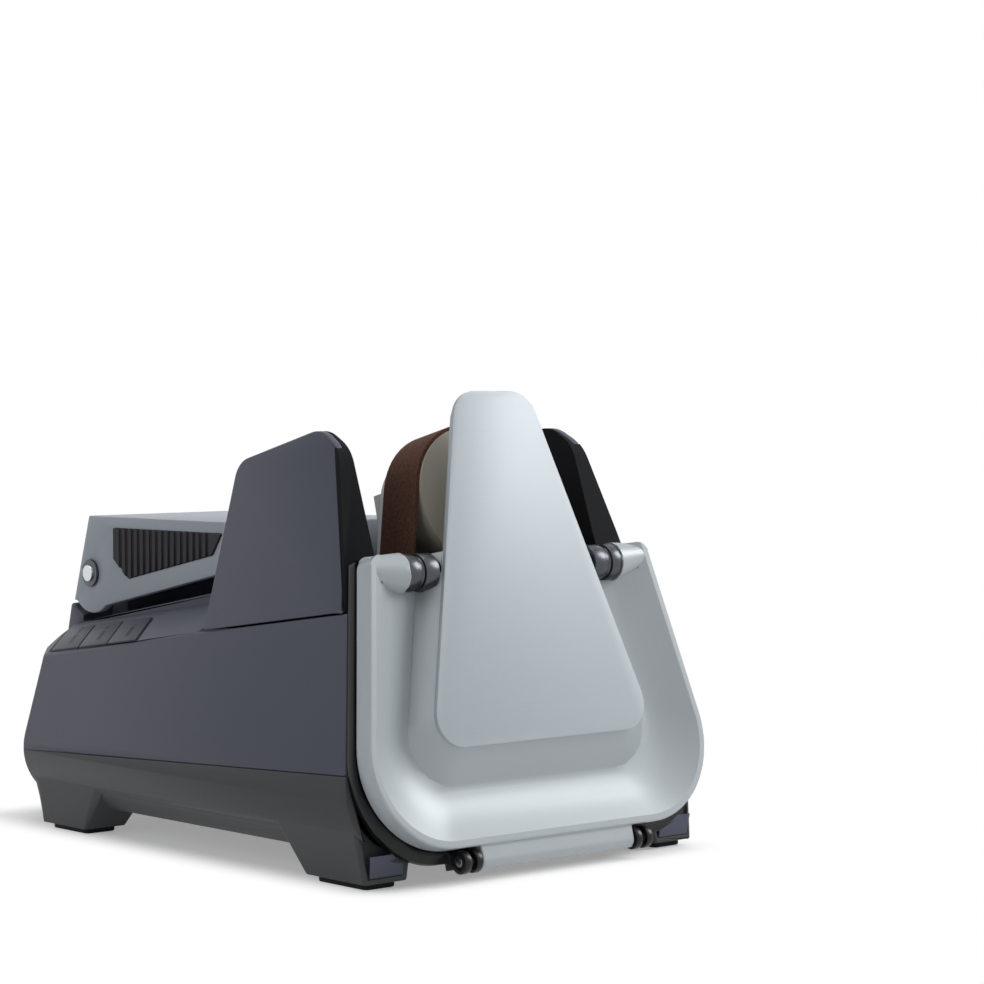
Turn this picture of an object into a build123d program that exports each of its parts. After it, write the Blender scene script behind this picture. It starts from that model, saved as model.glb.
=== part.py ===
"""Electric belt sharpener for kitchen knives.

X runs across the machine, Y from the door at the front to the rounded tail, Z up from the table.
The door, the plate and the abrasive belt lie in planes that lean back. Such a plane is described by
x, by v (the distance up the slope from the table) and by a depth behind the door's front plane.
"""
import os
from math import atan2, cos, pi, radians, sin, tan

from build123d import *

os.makedirs("parts", exist_ok=True)

# ---------------------------------------------------------------- driving dimensions, millimetres
# Slopes, in degrees
lean = 13.6                 # door, plate and belt, back from upright
side_lean = 11.9            # side walls, fins and door edges, inwards from upright
pylon_taper = 15.5          # sharpening angle: plate edges and belt flanks, from upright
tail_lean = 13.9            # rear wall, forwards from upright
seat_slope = 7.5            # top edge of the side walls, down towards the tail
parting_slope = 2.4         # joint line between the two housings, down towards the tail
shoulder_slope = 21.0       # shoulders beside the tower, up towards the middle

# Overall
door_foot_y = -89.8         # where the door's front plane meets the table
half_floor = 58.66          # half width that the leaning side walls would have at the table
body_bottom = 5.5           # underside of the body above the table
body_corner_r = 15.0        # rounding between the walls and the underside
seat_height = 52.2          # seat line of the blade guide where y = 0
parting_height = 22.5       # joint line of the housings where y = 0
wall = 2.5                  # housing wall
tail_centre_y = 25.25       # axis of the conical tail
tail_r = 68.7               # radius of the cone at the table

# Gaps
part_gap = 0.4              # between bodies that move apart
snug_gap = 0.1              # round inserts that are clipped in
over = 1.0                  # cutters run this far past a face
running_gap = 0.05          # radial, in bores

# Door
door_half_bottom = 56.0
door_half_top = 42.8
door_bottom_v = 9.0
door_top_v = 76.5
door_band = 5.3             # depth of the door's outer band
door_back = 6.8             # depth of its back face
door_back_inset = 2.5       # back face inside the band
door_corner_r = 21.0
door_top_r = 3.5
rim_width = 1.7             # flat rim round the dish
dish_depth = 4.9
dish_steps = 6              # flat strips that make up its hollow curve
boss_r = 4.7                # at the rod's end
boss_root_r = 3.1           # where it runs out into the rim
boss_start = 9.8            # inner end of the boss, inside the door's top corner
boss_end = 0.6
rod_r = 4.4
rod_v = 72.4
rod_depth = 3.2
rod_plug = 4.2              # thin end inside the pylon
rod_end = 2.8               # outer end of the other thin end, inside the door's top corner
rod_neck_r = 3.0
rod_groove_place = 4.8      # from its inner end
rod_groove_depth = 0.7
rod_groove_width = 1.6
rod_groove_flank = 1.0
rod_overlap = 2.0           # of the rod and the pylon's flank

# Plate and pylon
plate_half_foot = 42.9      # half width that the plate would have at the table
plate_bottom_v = 31.2
plate_top_v = 114.0
plate_corner_r = 7.0
plate_top_r = 7.5
plate_proud = 1.3           # front face of the plate ahead of the door's rim
plate_thickness = 1.0
flank_side = 3.4            # how far the pylon's flanks flare sideways
flank_bottom = 8.0          # and downwards
flank_corner_r = 11.5
tongue_inset = 1.6          # stiffening tongue inside the plate's edge
tongue_thickness = 2.6
spare_r = 1.0               # corners of a shape that lie outside its piece

# Door hinge
hinge_v = 5.9
hinge_depth = 2.8
hinge_half = 23.5
hinge_barrel_r = 2.1
hinge_pin_r = 1.1
tab_front = 0.9             # flat front face of the tab below the door
tab_bottom_v = 5.2
lug_width = 5.2
lug_slot = 1.4              # between the two cheeks of a lug
lug_r = 2.7

# Magnets that hold the door shut
magnet_x = 41.0
magnet_v = 52.0
magnet_r = 3.0
magnet_thickness = 1.2
strike_thickness = 1.0

# Belt drive, depths behind the door's front plane
belt_front = 10.5
belt_width = 12.7
belt_thickness = 0.8
belt_proud = 0.8            # belt surface outside the plate's edge
top_pulley_v = 91.0
lower_pulley_r = 8.0
lower_pulley_v = 30.0
pulley_side = 0.6           # pulley beyond each edge of the belt
chamber_gap = 2.0
chamber_wall = 1.5
chamber_floor = 1.5
chamber_floor_gap = 0.5
fascia_thickness = 2.2
fascia_bottom_v = 6.2
fascia_inset = 0.3
fascia_corner_r = 21.0
fascia_top_r = 2.0
fascia_core_bottom_v = 18.0 # thicker centre, inside the housing
fascia_core_top_v = 60.0
fascia_core_inset = 5.0
fascia_core_r = 12.0
recess_thickness = 2.0      # fascia behind the door's back
frame_thickness = 3.0
frame_half = 41.0
frame_bottom_v = 15.5
frame_shoulder_v = 50.0
frame_edge = 3.2            # mast inside the line of the belt
frame_corner_r = 5.0
axle_r = 3.0
axle_head = 0.6             # axles in front of their pulleys
idler_head_r = 5.0
idler_head_height = 2.0
bush_wall = 1.5
shaft_clearance = 1.0       # round the drive shaft, in the walls that it passes
bearing_r = 7.0
bearing_width = 5.0
bearing_wall = 2.5
bearing_floor = 1.0
rear_bearing_width = 3.0
tension_travel = 5.0
slider_half = 7.0
slider_height = 12.0
slider_depth = 7.0
slider_bay_gap = 2.0        # behind the slider
spring_r = 2.6
spring_wire_r = 0.45
spring_length = 13.0
spring_turns = 6
ledge_height = 3.0
rail_width = 2.6
frame_screw_places = ((-38, 21), (38, 21), (-38, 44), (38.5, 37))
frame_screw_boss_r = 3.2
frame_screw_length = 6.0
toothed_wheel_r = 10.5
motor_pulley_r = 6.0
toothed_belt_width = 6.0
toothed_belt_thickness = 1.2
toothed_pulley_width = 7.0
toothed_gap = 1.4           # between the frame's bearing boss and the toothed wheel
teeth_per_radius = 2.67     # teeth on a pulley for each millimetre of its radius
tooth_depth = 0.8

# Motor
motor_v = 46.0
motor_r = 16.0
motor_length = 36.0
motor_cap = 4.0
cap_spigot = 2.0            # ring of the end cap inside the can
motor_shaft_r = 1.6
motor_screw_x = 10.0
motor_screw_head = 1.2
motor_boss_r = 5.0
motor_boss_length = 3.0
can_wall = 1.4
rotor_r = 11.0
fan_r = 13.0
fan_width = 6.0
fan_hub_r = 4.0
fan_plate = 1.0
fan_blade = 1.0
fan_twist = 18.0            # degrees
fan_blades = 9
fan_gap = 1.0               # between the end cap and the fan
shaft_end = 0.5             # motor shaft beyond its pulley and its fan
rotor_gap = 6.0             # rotor inside the can's ends
commutator_r = 4.5
commutator_length = 3.5
bracket_thickness = 3.0
bracket_post_r = 3.2
bracket_posts = ((-19, 24.5), (-20, 57), (20, 57), (36, 46))
bracket_outline = ((-24.5, 20.5), (36.5, 20.5), (40.0, 24.0), (40.0, 50.0), (27.0, 61.5), (-24.5, 61.5))

# Blade guide
fin_rear_foot_y = -12.85
fin_front_foot_y = -66.3
fin_top = (                 # side view of a fin above its feet (y, z), from the rear round to the front
    (-15.7, 94.5), (-46.0, 102.5), (-54.4, 98.0), (-62.0, 76.2), (-64.65, 68.4),
)
fin_corner_r = 5.0
fin_nose_r = 9.0            # the two corners at the front of its top
fin_nose_z = 90.0           # above the fins' other front corners
fin_limit = 104.0           # just above the fins' top
fin_cover = 2.0
fin_inner_x = 34.5
fin_lip = 1.6               # black edge that shows in front of the cover
bridge_front_y = -31.5
bridge_rear_y = -15.5
bridge_thickness = 3.6
peg_r = 2.0
peg_length = 5.0
peg_x = 30.0
peg_y = -22.0

# Tower and rear arm
tower_half = 27.0
tower_front_y = -8.5
tower_height = 63.1         # top line of the tower where y = 0
tower_slope = 9.8
rear_rim_proud = 3.6        # rim behind the arm's lobes, outside the tail
rear_rim_low_z = 43.0
rear_rim_high_z = 55.4
pin_y = 67.6
pin_z = 63.8
pin_r = 2.2
pin_end_x = 28.2
clip_r = 3.6
clip_thickness = 0.8
clip_slot = 1.0             # half the width of its opening
lobe_r = 10.6
pocket_gap = 1.3
cheek_gap = 0.6             # between the arm's cheeks and the floors of their pockets
pocket_rim = 1.0            # tower wall outside the pocket's inner wall
pedestal_depth = 14.0       # from the pin down into the tower
arm_outline = (             # side view of the arm (y, z), from its front end along the lower edge
    (-5.5, 68.8), (12.3, 65.3), (61.9, 55.3), (76.3, 56.2),
    (71.8, 69.8), (68.8, 79.0), (-5.5, 79.0),
)
arm_half = 26.7
arm_cheek = 2.5
arm_web = 2.6
grip_outline = ((56.75, 67.9), (50.25, 63.0), (12.0, 70.6), (8.0, 76.0), (56.75, 76.0))
grip_recess = 1.2
grip_proud = 0.4
grip_grooves = 15
grip_first_y = 14.0
grip_pitch = 2.8
grip_groove_width = 1.2
grip_groove_depth = 0.5
pedestal_half = 18.0
pedestal_half_length = 3.8
honing_rod_r = 3.5
honing_rod_z = 71.5
honing_rod_front_y = 3.0
honing_rod_rear_y = 50.0
holder_r = 5.0
holder_length = 5.0
holder_inset = 2.0          # from the honing rod's ends

# Buttons
button_pitch = 13.2
button_first_y = 15.5       # front corner of the key field, on its outer edge
button_outer_x = 47.6
button_inner_x = 31.5
button_shear = 16.1         # how far back the inner edge of a key lies
button_gap = 0.45
button_thickness = 2.2
button_proud = 0.35
button_travel = 0.5
button_stem_r = 1.5
key_hole_top = 3.0          # above the shoulder
key_hole_depth = 7.0
board_depth = 8.0           # board below the shoulder
board_thickness = 1.6
board_front_y = 16.0
board_rear_y = 58.0
board_outer_x = 44.0
board_inner_x = 31.5
board_post_r = 1.6
board_posts = ((-41, 19.5), (-34, 24))
switch_size = 6.0
switch_height = 2.0

# Power inlet in the rear wall
inlet_half = 12.0
inlet_low_z = 25.0
inlet_high_z = 38.0
inlet_face_y = 83.5
inlet_depth = 15.0
socket_half = 8.0
socket_half_height = 4.0
socket_depth = 11.0
socket_corner_r = 2.5
contact_r = 1.1
contact_x = 4.3
contact_inset = 2.0         # contacts end this far inside the socket

# Screws
post_places = ((-33, -16), (33, -16), (-24, 70), (24, 70))
post_r = 4.2
screw_r = 1.5
screw_head_r = 2.9
screw_head_height = 2.0
screw_recess_r = 1.0
screw_recess_depth = 1.0
screw_sink = 4.0
screw_reach = 10.0          # thread above the joint line

# Feet
foot_inner_x = 38.5
foot_outer_x = 50.8
foot_front_y = (-79.25, 34.25)
foot_length = (22.0, 20.2)
foot_grow_front = (-3.5, 19.0)      # how far the front face moves forwards up to the joint line
foot_grow_rear = (19.0, 5.5)
foot_clear = 1.5
foot_top_z = 24.3
foot_top_inner_x = 32.0
foot_top_outer_x = 53.2
foot_edge_r = 1.0
foot_panel_edge = 1.2               # frame round the sunk panel in the front legs
foot_panel_depth = 0.6
foot_panel_height = 20.0
foot_panel_cut = 2.2                # from the panel's floor out through the leg's front
pad_x = 44.6
pad_width = 9.0
pad_length = (18.0, 16.2)
pad_thickness = 2.6
pad_corner_r = 1.5

# Vents under the motor
vent_count = 5
vent_pitch = 7.0
vent_length = 34.0
vent_width = 3.0
vent_y = 30.0

# ---------------------------------------------------------------- derived values and helpers
c_lean = cos(radians(lean))
s_lean = sin(radians(lean))
t_side = tan(radians(side_lean))
t_taper = tan(radians(pylon_taper))
c_taper = cos(radians(pylon_taper))
t_seat = tan(radians(seat_slope))
t_parting = tan(radians(parting_slope))
t_tower = tan(radians(tower_slope))

door_plane = Plane(origin=(0, door_foot_y, 0), x_dir=(1, 0, 0), z_dir=(0, -c_lean, s_lean))
far = 200.0                 # larger than anything in the machine
high = 120.0                # above anything in the machine
open_top_v = 92.0           # above the door's top edge, where its dish runs out


def layer(depth):
    """Plane parallel to the door, at a depth behind its front."""
    return door_plane.offset(-depth)


def spot(x, v, depth):
    """Point in machine coordinates of a place on a leaning plane."""
    return layer(depth).from_local_coords(Vector(x, v, 0))


def side_half(z, inset=0.0):
    """Half width between the leaning side walls at a height."""
    return half_floor - z * t_side - inset / cos(radians(side_lean))


def leaning_half(v, depth, inset=0.0):
    """The same, at a place on a leaning plane."""
    return side_half(v * c_lean - depth * s_lean, inset)


def plate_half(v, flare=0.0):
    return plate_half_foot + flare - v * t_taper


def belt_half(v):
    """Half width of the belt's outer surface along its flanks."""
    return plate_half(v, belt_proud)


def seat_z(y):
    return seat_height - y * t_seat


def parting_z(y):
    return parting_height - y * t_parting


def tower_z(y):
    return tower_height - y * t_tower


belt_back = belt_front + belt_width
pulley_front = belt_front - pulley_side
pulley_back = belt_back + pulley_side
chamber_back = pulley_back + chamber_floor_gap
frame_front = chamber_back + chamber_floor
frame_back = frame_front + frame_thickness
fascia_front = door_band + part_gap
housing_front = fascia_front + fascia_thickness
top_pulley_r = belt_half(top_pulley_v) * c_taper - belt_thickness
lower_pulley_x = belt_half(lower_pulley_v) - (lower_pulley_r + belt_thickness) / c_taper
bearing_boss_back = frame_front + bearing_width + bearing_floor
wheel_front = bearing_boss_back + toothed_gap
wheel_back = wheel_front + toothed_pulley_width
bracket_front = wheel_back + toothed_gap
bracket_back = bracket_front + bracket_thickness
slider_front = frame_back + part_gap
spring_depth = slider_front + slider_depth / 2
spring_bottom_v = top_pulley_v - slider_height / 2 - spring_length
rod_inner_x = plate_half(rod_v, flank_side) - rod_overlap
boss_inner_x = door_half_top - boss_start
boss_outer_x = door_half_top - boss_end
rod_outer_x = door_half_top - rod_end
lug_inner_x = hinge_half + part_gap
lug_outer_x = lug_inner_x + lug_width
left, right = -1, 1


def tapered(plane, half_low, half_high, low, high, low_r, high_r):
    """Symmetrical trapezoid with rounded corners."""
    with BuildSketch(plane) as shape:
        with BuildLine():
            Polyline((-half_low, low), (half_low, low), (half_high, high), (-half_high, high), close=True)
        make_face()
        fillet(shape.vertices().group_by(Axis.Y)[0], low_r)
        fillet(shape.vertices().group_by(Axis.Y)[-1], high_r)
    return shape.sketch


def pulley_loop(plane, growth):
    """Outline of a band round the three pulleys, outside their rims by the given growth."""
    with BuildSketch(plane) as shape:
        with Locations((0, top_pulley_v)):
            Circle(top_pulley_r + growth)
        with Locations((-lower_pulley_x, lower_pulley_v), (lower_pulley_x, lower_pulley_v)):
            Circle(lower_pulley_r + growth)
        make_hull()
    return shape.sketch


def drive_loop(plane, growth):
    """Outline of a band round the motor pulley and the toothed wheel."""
    with BuildSketch(plane) as shape:
        with Locations((0, motor_v)):
            Circle(motor_pulley_r + growth)
        with Locations((lower_pulley_x, lower_pulley_v)):
            Circle(toothed_wheel_r + growth)
        make_hull()
    return shape.sketch


def polygon(plane, points):
    with BuildSketch(plane) as shape:
        with BuildLine():
            Polyline(*points, close=True)
        make_face()
    return shape.sketch


def disc(x, v, depth, radius, length, bore=0.0):
    """Round piece on an axis square to the leaning planes, from a depth backwards."""
    with BuildPart() as piece:
        with BuildSketch(layer(depth)):
            with Locations((x, v)):
                Circle(radius)
                if bore:
                    Circle(bore, mode=Mode.SUBTRACT)
        extrude(amount=-length)
    return piece.part


def crossbar(x_from, x_to, y, z, radius):
    """Round bar across the machine."""
    with BuildPart() as piece:
        with BuildSketch(Plane.YZ.offset(x_from)):
            with Locations((y, z)):
                Circle(radius)
        extrude(amount=x_to - x_from)
    return piece.part


def save(part, name):
    part.label = name
    export_step(part, f"parts/{name}.step")


# ---------------------------------------------------------------- body shape shared by the housings
def tail_solid(inset):
    """Plan of the machine: straight in front, a rounded cone behind, with a rounded lower edge."""
    low = body_bottom + inset
    radius_low = tail_r - inset / cos(radians(tail_lean)) - low * tan(radians(tail_lean))
    radius_high = tail_r - inset / cos(radians(tail_lean)) - far * tan(radians(tail_lean))
    with BuildPart() as shape:
        with BuildSketch(Plane.XZ.offset(-tail_centre_y)) as half:
            with BuildLine():
                Polyline((0, low), (radius_low, low), (radius_high, far), (0, far), close=True)
            make_face()
            fillet(half.vertices().group_by(Axis.Y)[0].sort_by(Axis.X)[-1], body_corner_r - inset)
        revolve(axis=Axis((0, tail_centre_y, 0), (0, 0, 1)))
        with BuildSketch(Plane.XY.offset(low)):
            with Locations((0, tail_centre_y - far / 2)):
                Rectangle(far, far)
        extrude(amount=far)
    return shape.part


def side_outline(inset):
    """Side view of the body, with the guide's seat in front and the tower behind."""
    front_low = spot(0, 0, housing_front)
    slope = s_lean / c_lean

    def front_y(z):
        return front_low.Y - inset + (z - front_low.Z) * slope

    low = body_bottom + inset
    seat_front_y = front_y(seat_height - inset) / (1 + slope * t_seat)
    tower_front = tower_front_y + inset
    return [
        (front_y(low), low),
        (seat_front_y, seat_z(seat_front_y) - inset),
        (tower_front, seat_z(tower_front) - inset),
        (tower_front, tower_z(tower_front) - inset),
        (far, tower_z(far) - inset),
        (far, low),
    ]


def body_block(inset):
    """Solid inside the outer faces of the two housings, drawn in by an inset."""
    low = body_bottom + inset
    with BuildPart() as block:
        with BuildSketch(Plane.XZ) as section:
            with BuildLine():
                Polyline((-side_half(low, inset), low), (side_half(low, inset), low),
                         (side_half(high, inset), high), (-side_half(high, inset), high), close=True)
            make_face()
            fillet(section.vertices().group_by(Axis.Y)[0], body_corner_r - inset)
        extrude(amount=far, both=True)
        extrude(to_extrude=polygon(Plane.YZ, side_outline(inset)), amount=far, both=True, mode=Mode.INTERSECT)
        add(tail_solid(inset), mode=Mode.INTERSECT)
        for side in (left, right):
            add(shoulder_space(side, inset), mode=Mode.SUBTRACT)
    return block.part


def shoulder_plane(side, drop):
    """Sloping shoulder beside the tower, rising from the wall's top edge to the tower."""
    edge_y = tower_front_y
    edge = Vector(side * side_half(seat_z(edge_y)), edge_y, seat_z(edge_y) - drop)
    along = Vector(0, 1, -t_seat)
    inwards = Vector(-side, 0, tan(radians(shoulder_slope)))
    normal = along.cross(inwards) * side
    return Plane(origin=edge, x_dir=along, z_dir=normal)


def shoulder_space(side, inset):
    """Open space above one shoulder, beside the tower."""
    with BuildPart() as space:
        with BuildSketch(Plane.XY):
            with Locations((side * (tower_half - inset + far / 2), tower_front_y + far / 2)):
                Rectangle(far, far)
        extrude(amount=far)
        split(bisect_by=shoulder_plane(side, inset), keep=Keep.TOP)
    return space.part


outer_block = body_block(0)
inner_block = body_block(wall)
parting_plane = Plane(origin=(0, 0, parting_height), x_dir=(1, 0, 0),
                      z_dir=(0, sin(radians(parting_slope)), cos(radians(parting_slope))))


def bay(growth, front, back, top=door_top_v):
    """Solid that fills the belt's loop, grown outwards, between two depths and below a level."""
    with BuildPart() as solid:
        extrude(to_extrude=pulley_loop(layer(front), growth), amount=-(back - front))
        with BuildSketch(layer(front)):
            with Locations((0, top - far / 2)):
                Rectangle(far, far)
        extrude(amount=-(back - front), mode=Mode.INTERSECT)
    return solid.part


def foot_leg(side, end):
    """Leg that widens upwards into the housing, at the front (end 0) or at the rear (end 1)."""
    front_y = foot_front_y[end]
    rear_y = front_y + foot_length[end]
    top_front_y = front_y - foot_grow_front[end]
    top_rear_y = rear_y + foot_grow_rear[end]
    with BuildPart() as leg:
        with BuildSketch(Plane.XY.offset(foot_clear)):
            with Locations((side * (foot_inner_x + foot_outer_x) / 2, (front_y + rear_y) / 2)):
                RectangleRounded(foot_outer_x - foot_inner_x, rear_y - front_y, foot_edge_r)
        with BuildSketch(Plane.XY.offset(foot_top_z)):
            middle_x = side * (foot_top_inner_x + foot_top_outer_x) / 2
            with Locations((middle_x, (top_front_y + top_rear_y) / 2)):
                RectangleRounded(foot_top_outer_x - foot_top_inner_x, top_rear_y - top_front_y, foot_edge_r)
        loft()
    return leg.part


def foot_panel(side):
    """Space of the sunk panel in the front face of a front leg."""
    rise = foot_top_z - foot_clear
    slope = atan2(-foot_grow_front[0], rise)
    face = Plane(origin=(0, foot_front_y[0], foot_clear), x_dir=(1, 0, 0), z_dir=(0, -cos(slope), sin(slope)))
    inner = foot_inner_x + foot_panel_edge
    outer = foot_outer_x - foot_panel_edge
    outer_high = outer + (foot_top_outer_x - foot_outer_x) * foot_panel_height / rise
    corners = [(side * inner, foot_panel_edge), (side * outer, foot_panel_edge),
               (side * outer_high, foot_panel_height), (side * inner, foot_panel_height)]
    with BuildPart() as space:
        extrude(to_extrude=polygon(face.offset(-foot_panel_depth), corners), amount=foot_panel_cut)
    return space.part


def foot_pad_shape(side, end, height):
    """Rubber pad under a leg, or the recess that holds it."""
    with BuildPart() as pad:
        with BuildSketch(Plane.XY):
            with Locations((side * pad_x, foot_front_y[end] + foot_length[end] / 2)):
                RectangleRounded(pad_width, pad_length[end], pad_corner_r)
        extrude(amount=height)
    return pad.part


def post(x, y, bottom, top, radius):
    """Upright round post."""
    with BuildPart() as piece:
        with BuildSketch(Plane.XY.offset(bottom)):
            with Locations((x, y)):
                Circle(radius)
        extrude(amount=top - bottom)
    return piece.part


def block(x_from, x_to, y_from, y_to, z_from, z_to):
    with BuildPart() as piece:
        with Locations(((x_from + x_to) / 2, (y_from + y_to) / 2, (z_from + z_to) / 2)):
            Box(x_to - x_from, y_to - y_from, z_to - z_from)
    return piece.part


def leaning_block(x_from, x_to, v_from, v_to, depth_from, depth_to):
    """Box square to the leaning planes."""
    with BuildPart() as piece:
        with BuildSketch(layer(depth_from)):
            with Locations(((x_from + x_to) / 2, (v_from + v_to) / 2)):
                Rectangle(x_to - x_from, v_to - v_from)
        extrude(amount=-(depth_to - depth_from))
    return piece.part


def on_shoulder(plane, x, y):
    """Local coordinates of the point of a shoulder that lies above a place in plan."""
    rise = plane.z_dir.X * (x - plane.origin.X) + plane.z_dir.Y * (y - plane.origin.Y)
    local = plane.to_local_coords(Vector(x, y, plane.origin.Z - rise / plane.z_dir.Z))
    return (local.X, local.Y)


def key_prism(index, shrink, top, thickness):
    """Block under one slanting key, square to the shoulder."""
    front = button_first_y + index * button_pitch
    rear = front + button_pitch
    outer_x = -(button_outer_x - shrink)
    inner_x = -(button_inner_x + shrink)
    corners = [(outer_x, front + shrink), (outer_x, rear - shrink),
               (inner_x, rear - shrink + button_shear), (inner_x, front + shrink + button_shear)]
    with BuildPart() as prism:
        outline = polygon(key_plane.offset(top), [on_shoulder(key_plane, x, y) for x, y in corners])
        extrude(to_extrude=outline, amount=-thickness)
    return prism.part


def toothed(x, v, radius, bore):
    """Toothed pulley of the motor drive."""
    with BuildPart() as wheel:
        with BuildSketch(layer(wheel_front)):
            with Locations((x, v)):
                Circle(radius - running_gap)
                Circle(bore, mode=Mode.SUBTRACT)
                teeth = round(radius * teeth_per_radius)
                with PolarLocations(radius, teeth):
                    Rectangle(2 * tooth_depth, pi * radius / teeth, mode=Mode.SUBTRACT)
        extrude(amount=-toothed_pulley_width)
    return wheel.part


def door_half(v):
    slope = (door_half_bottom - door_half_top) / (door_top_v - door_bottom_v)
    return door_half_bottom - (v - door_bottom_v) * slope


def hinge_bar(x_from, x_to, radius):
    """Round bar on the hinge's axis."""
    centre = spot(0, hinge_v, hinge_depth)
    return crossbar(x_from, x_to, centre.Y, centre.Z, radius)


fin_outline = (
    (fin_rear_foot_y, seat_z(fin_rear_foot_y) + part_gap), *fin_top,
    (fin_front_foot_y, seat_z(fin_front_foot_y) + part_gap),
)


def fin(side, x_inner, cover):
    """Slab of the guide, from an upright plane out to the side slope less the cover's thickness."""
    with BuildPart() as slab:
        with BuildSketch(Plane.YZ) as view:
            with BuildLine():
                Polyline(*fin_outline, close=True)
            make_face()
            tops = view.vertices().group_by(Axis.Y)[-3:]
            fillet([corner for group in tops for corner in group if corner.X > bridge_front_y], fin_corner_r)
            front = view.vertices().filter_by(lambda corner: corner.X < bridge_front_y)
            fillet(front.filter_by(lambda corner: corner.Y > fin_nose_z), fin_nose_r)
        extrude(amount=side * far)
        with BuildSketch(Plane.XZ):
            with BuildLine():
                Polyline((side * x_inner, 0), (side * side_half(0, cover), 0),
                         (side * side_half(fin_limit, cover), fin_limit), (side * x_inner, fin_limit),
                         close=True)
            make_face()
        extrude(amount=far, both=True, mode=Mode.INTERSECT)
    return slab.part


def fin_front_lip(side):
    """Space in front of a fin's cover, taken by the black edge of the guide's frame."""
    with BuildPart() as lip:
        with BuildSketch(Plane.YZ):
            with BuildLine():
                Polyline(*[(y + fin_lip, z) for y, z in fin_outline[3:]], (-high, fin_outline[-1][1]),
                         (-high, fin_outline[3][1]), close=True)
            make_face()
        extrude(amount=side * far)
    return lip.part


def fin_edge(side):
    """Black edge of the guide's frame in front of a fin's cover, rounded over to the front."""
    with BuildPart() as edge:
        add(fin(side, fin_inner_x, 0))
        add(fin_front_lip(side), mode=Mode.INTERSECT)
    return edge.part


def door_shape(inset, front, back):
    """Layer of the door between two depths."""
    with BuildPart() as slab:
        low = door_bottom_v + inset
        outline = tapered(layer(front), door_half(low) - inset, door_half(door_top_v) - inset,
                          low, door_top_v, door_corner_r - inset, door_top_r)
        extrude(to_extrude=outline, amount=-(back - front))
    return slab.part


def blend(start, end, share):
    return start + (end - start) * share


def dish():
    """Hollow in the door's front, curved from the rim in to the foot of the pylon, open at the top."""
    rim_v = door_bottom_v + rim_width
    foot_v = plate_bottom_v - flank_bottom
    with BuildPart() as hollow:
        for step in range(dish_steps + 1):
            share = step / dish_steps
            half_low = blend(door_half(rim_v) - rim_width, plate_half(foot_v, flank_side), share)
            half_high = blend(door_half(open_top_v) - rim_width, plate_half(open_top_v, flank_side), share)
            corner_r = blend(door_corner_r - rim_width, flank_corner_r, share)
            low = blend(rim_v, foot_v, share)
            with BuildSketch(layer(dish_depth * sin(share * pi / 2))):
                add(tapered(Plane.XY, half_low, half_high, low, open_top_v, corner_r, spare_r))
        loft(ruled=True)
    return hollow.part


def pylon():
    """Raised base of the plate; its flanks flare towards the bottom of the dish."""
    plate_back = plate_thickness - plate_proud
    with BuildPart() as base:
        for depth in (door_band, plate_back):
            share = (depth - plate_back) / (dish_depth - plate_back)
            low = plate_bottom_v - flank_bottom * share
            flare = flank_side * share
            corner_r = blend(plate_corner_r, flank_corner_r, share)
            with BuildSketch(layer(depth)):
                add(tapered(Plane.XY, plate_half(low, flare), plate_half(open_top_v, flare),
                            low, open_top_v, corner_r, spare_r))
        loft(ruled=True)
        top_edge = Plane(origin=spot(0, door_top_v, 0), x_dir=(1, 0, 0), z_dir=door_plane.y_dir)
        split(bisect_by=top_edge, keep=Keep.BOTTOM)
    return base.part


def rod_bar(side, x_from, x_to, radius):
    """Round bar on the axis of the rods at the door's top edge, measured outwards from the middle."""
    return crossbar(*sorted((side * x_from, side * x_to)), rod_centre.Y, rod_centre.Z, radius)


def rod_boss(side):
    """Boss that holds a rod's outer end and runs out into the door's rim."""
    root = spot(0, door_top_v - boss_root_r, rod_depth)
    with BuildPart() as boss:
        for x, centre, radius in ((boss_inner_x, rod_centre, boss_r), (boss_outer_x, root, boss_root_r)):
            with BuildSketch(Plane.YZ.offset(side * x)):
                with Locations((centre.Y, centre.Z)):
                    Circle(radius)
        loft()
    return boss.part


def peg(side, below, above, radius):
    """Round bar up the slope through the guide's seat, on the line of one peg."""
    up_slope = door_plane.y_dir
    foot = Vector(side * peg_x, peg_y, seat_z(peg_y)) - up_slope * below
    with BuildPart() as piece:
        with BuildSketch(Plane(origin=foot, z_dir=up_slope)):
            Circle(radius)
        extrude(amount=below + above)
    return piece.part


def tail_radius(z):
    """Radius of the conical tail at a height."""
    return tail_r - z * tan(radians(tail_lean))


def rear_rim():
    """Raised rim of the tower behind the arm's lobes, its underside slanting out of the tail."""
    slant_z = rear_rim_low_z + rear_rim_proud
    with BuildPart() as rim:
        with BuildSketch(Plane.XZ.offset(-tail_centre_y)):
            with BuildLine():
                Polyline((tail_radius(rear_rim_low_z) - wall, rear_rim_low_z),
                         (tail_radius(rear_rim_low_z), rear_rim_low_z),
                         (tail_radius(slant_z) + rear_rim_proud, slant_z),
                         (tail_radius(rear_rim_high_z) + rear_rim_proud, rear_rim_high_z),
                         (tail_radius(rear_rim_high_z) - wall, rear_rim_high_z), close=True)
            make_face()
        revolve(axis=Axis((0, tail_centre_y, 0), (0, 0, 1)))
        add(block(-tower_half, tower_half, pin_y, far, rear_rim_low_z, rear_rim_high_z), mode=Mode.INTERSECT)
    return rim.part


def pocket(side):
    """Round pocket of the tower for one cheek of the rear arm."""
    return crossbar(*sorted((side * cheek_slot, side * far)), pin_y, pin_z, lobe_r + pocket_gap)


key_plane = shoulder_plane(left, 0)
rod_centre = spot(0, rod_v, rod_depth)
tub_inner = belt_thickness + chamber_gap
tub_outer = tub_inner + chamber_wall
slider_bay_back = slider_front + slider_depth + slider_bay_gap
cheek_slot = arm_half - arm_cheek - cheek_gap

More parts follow.
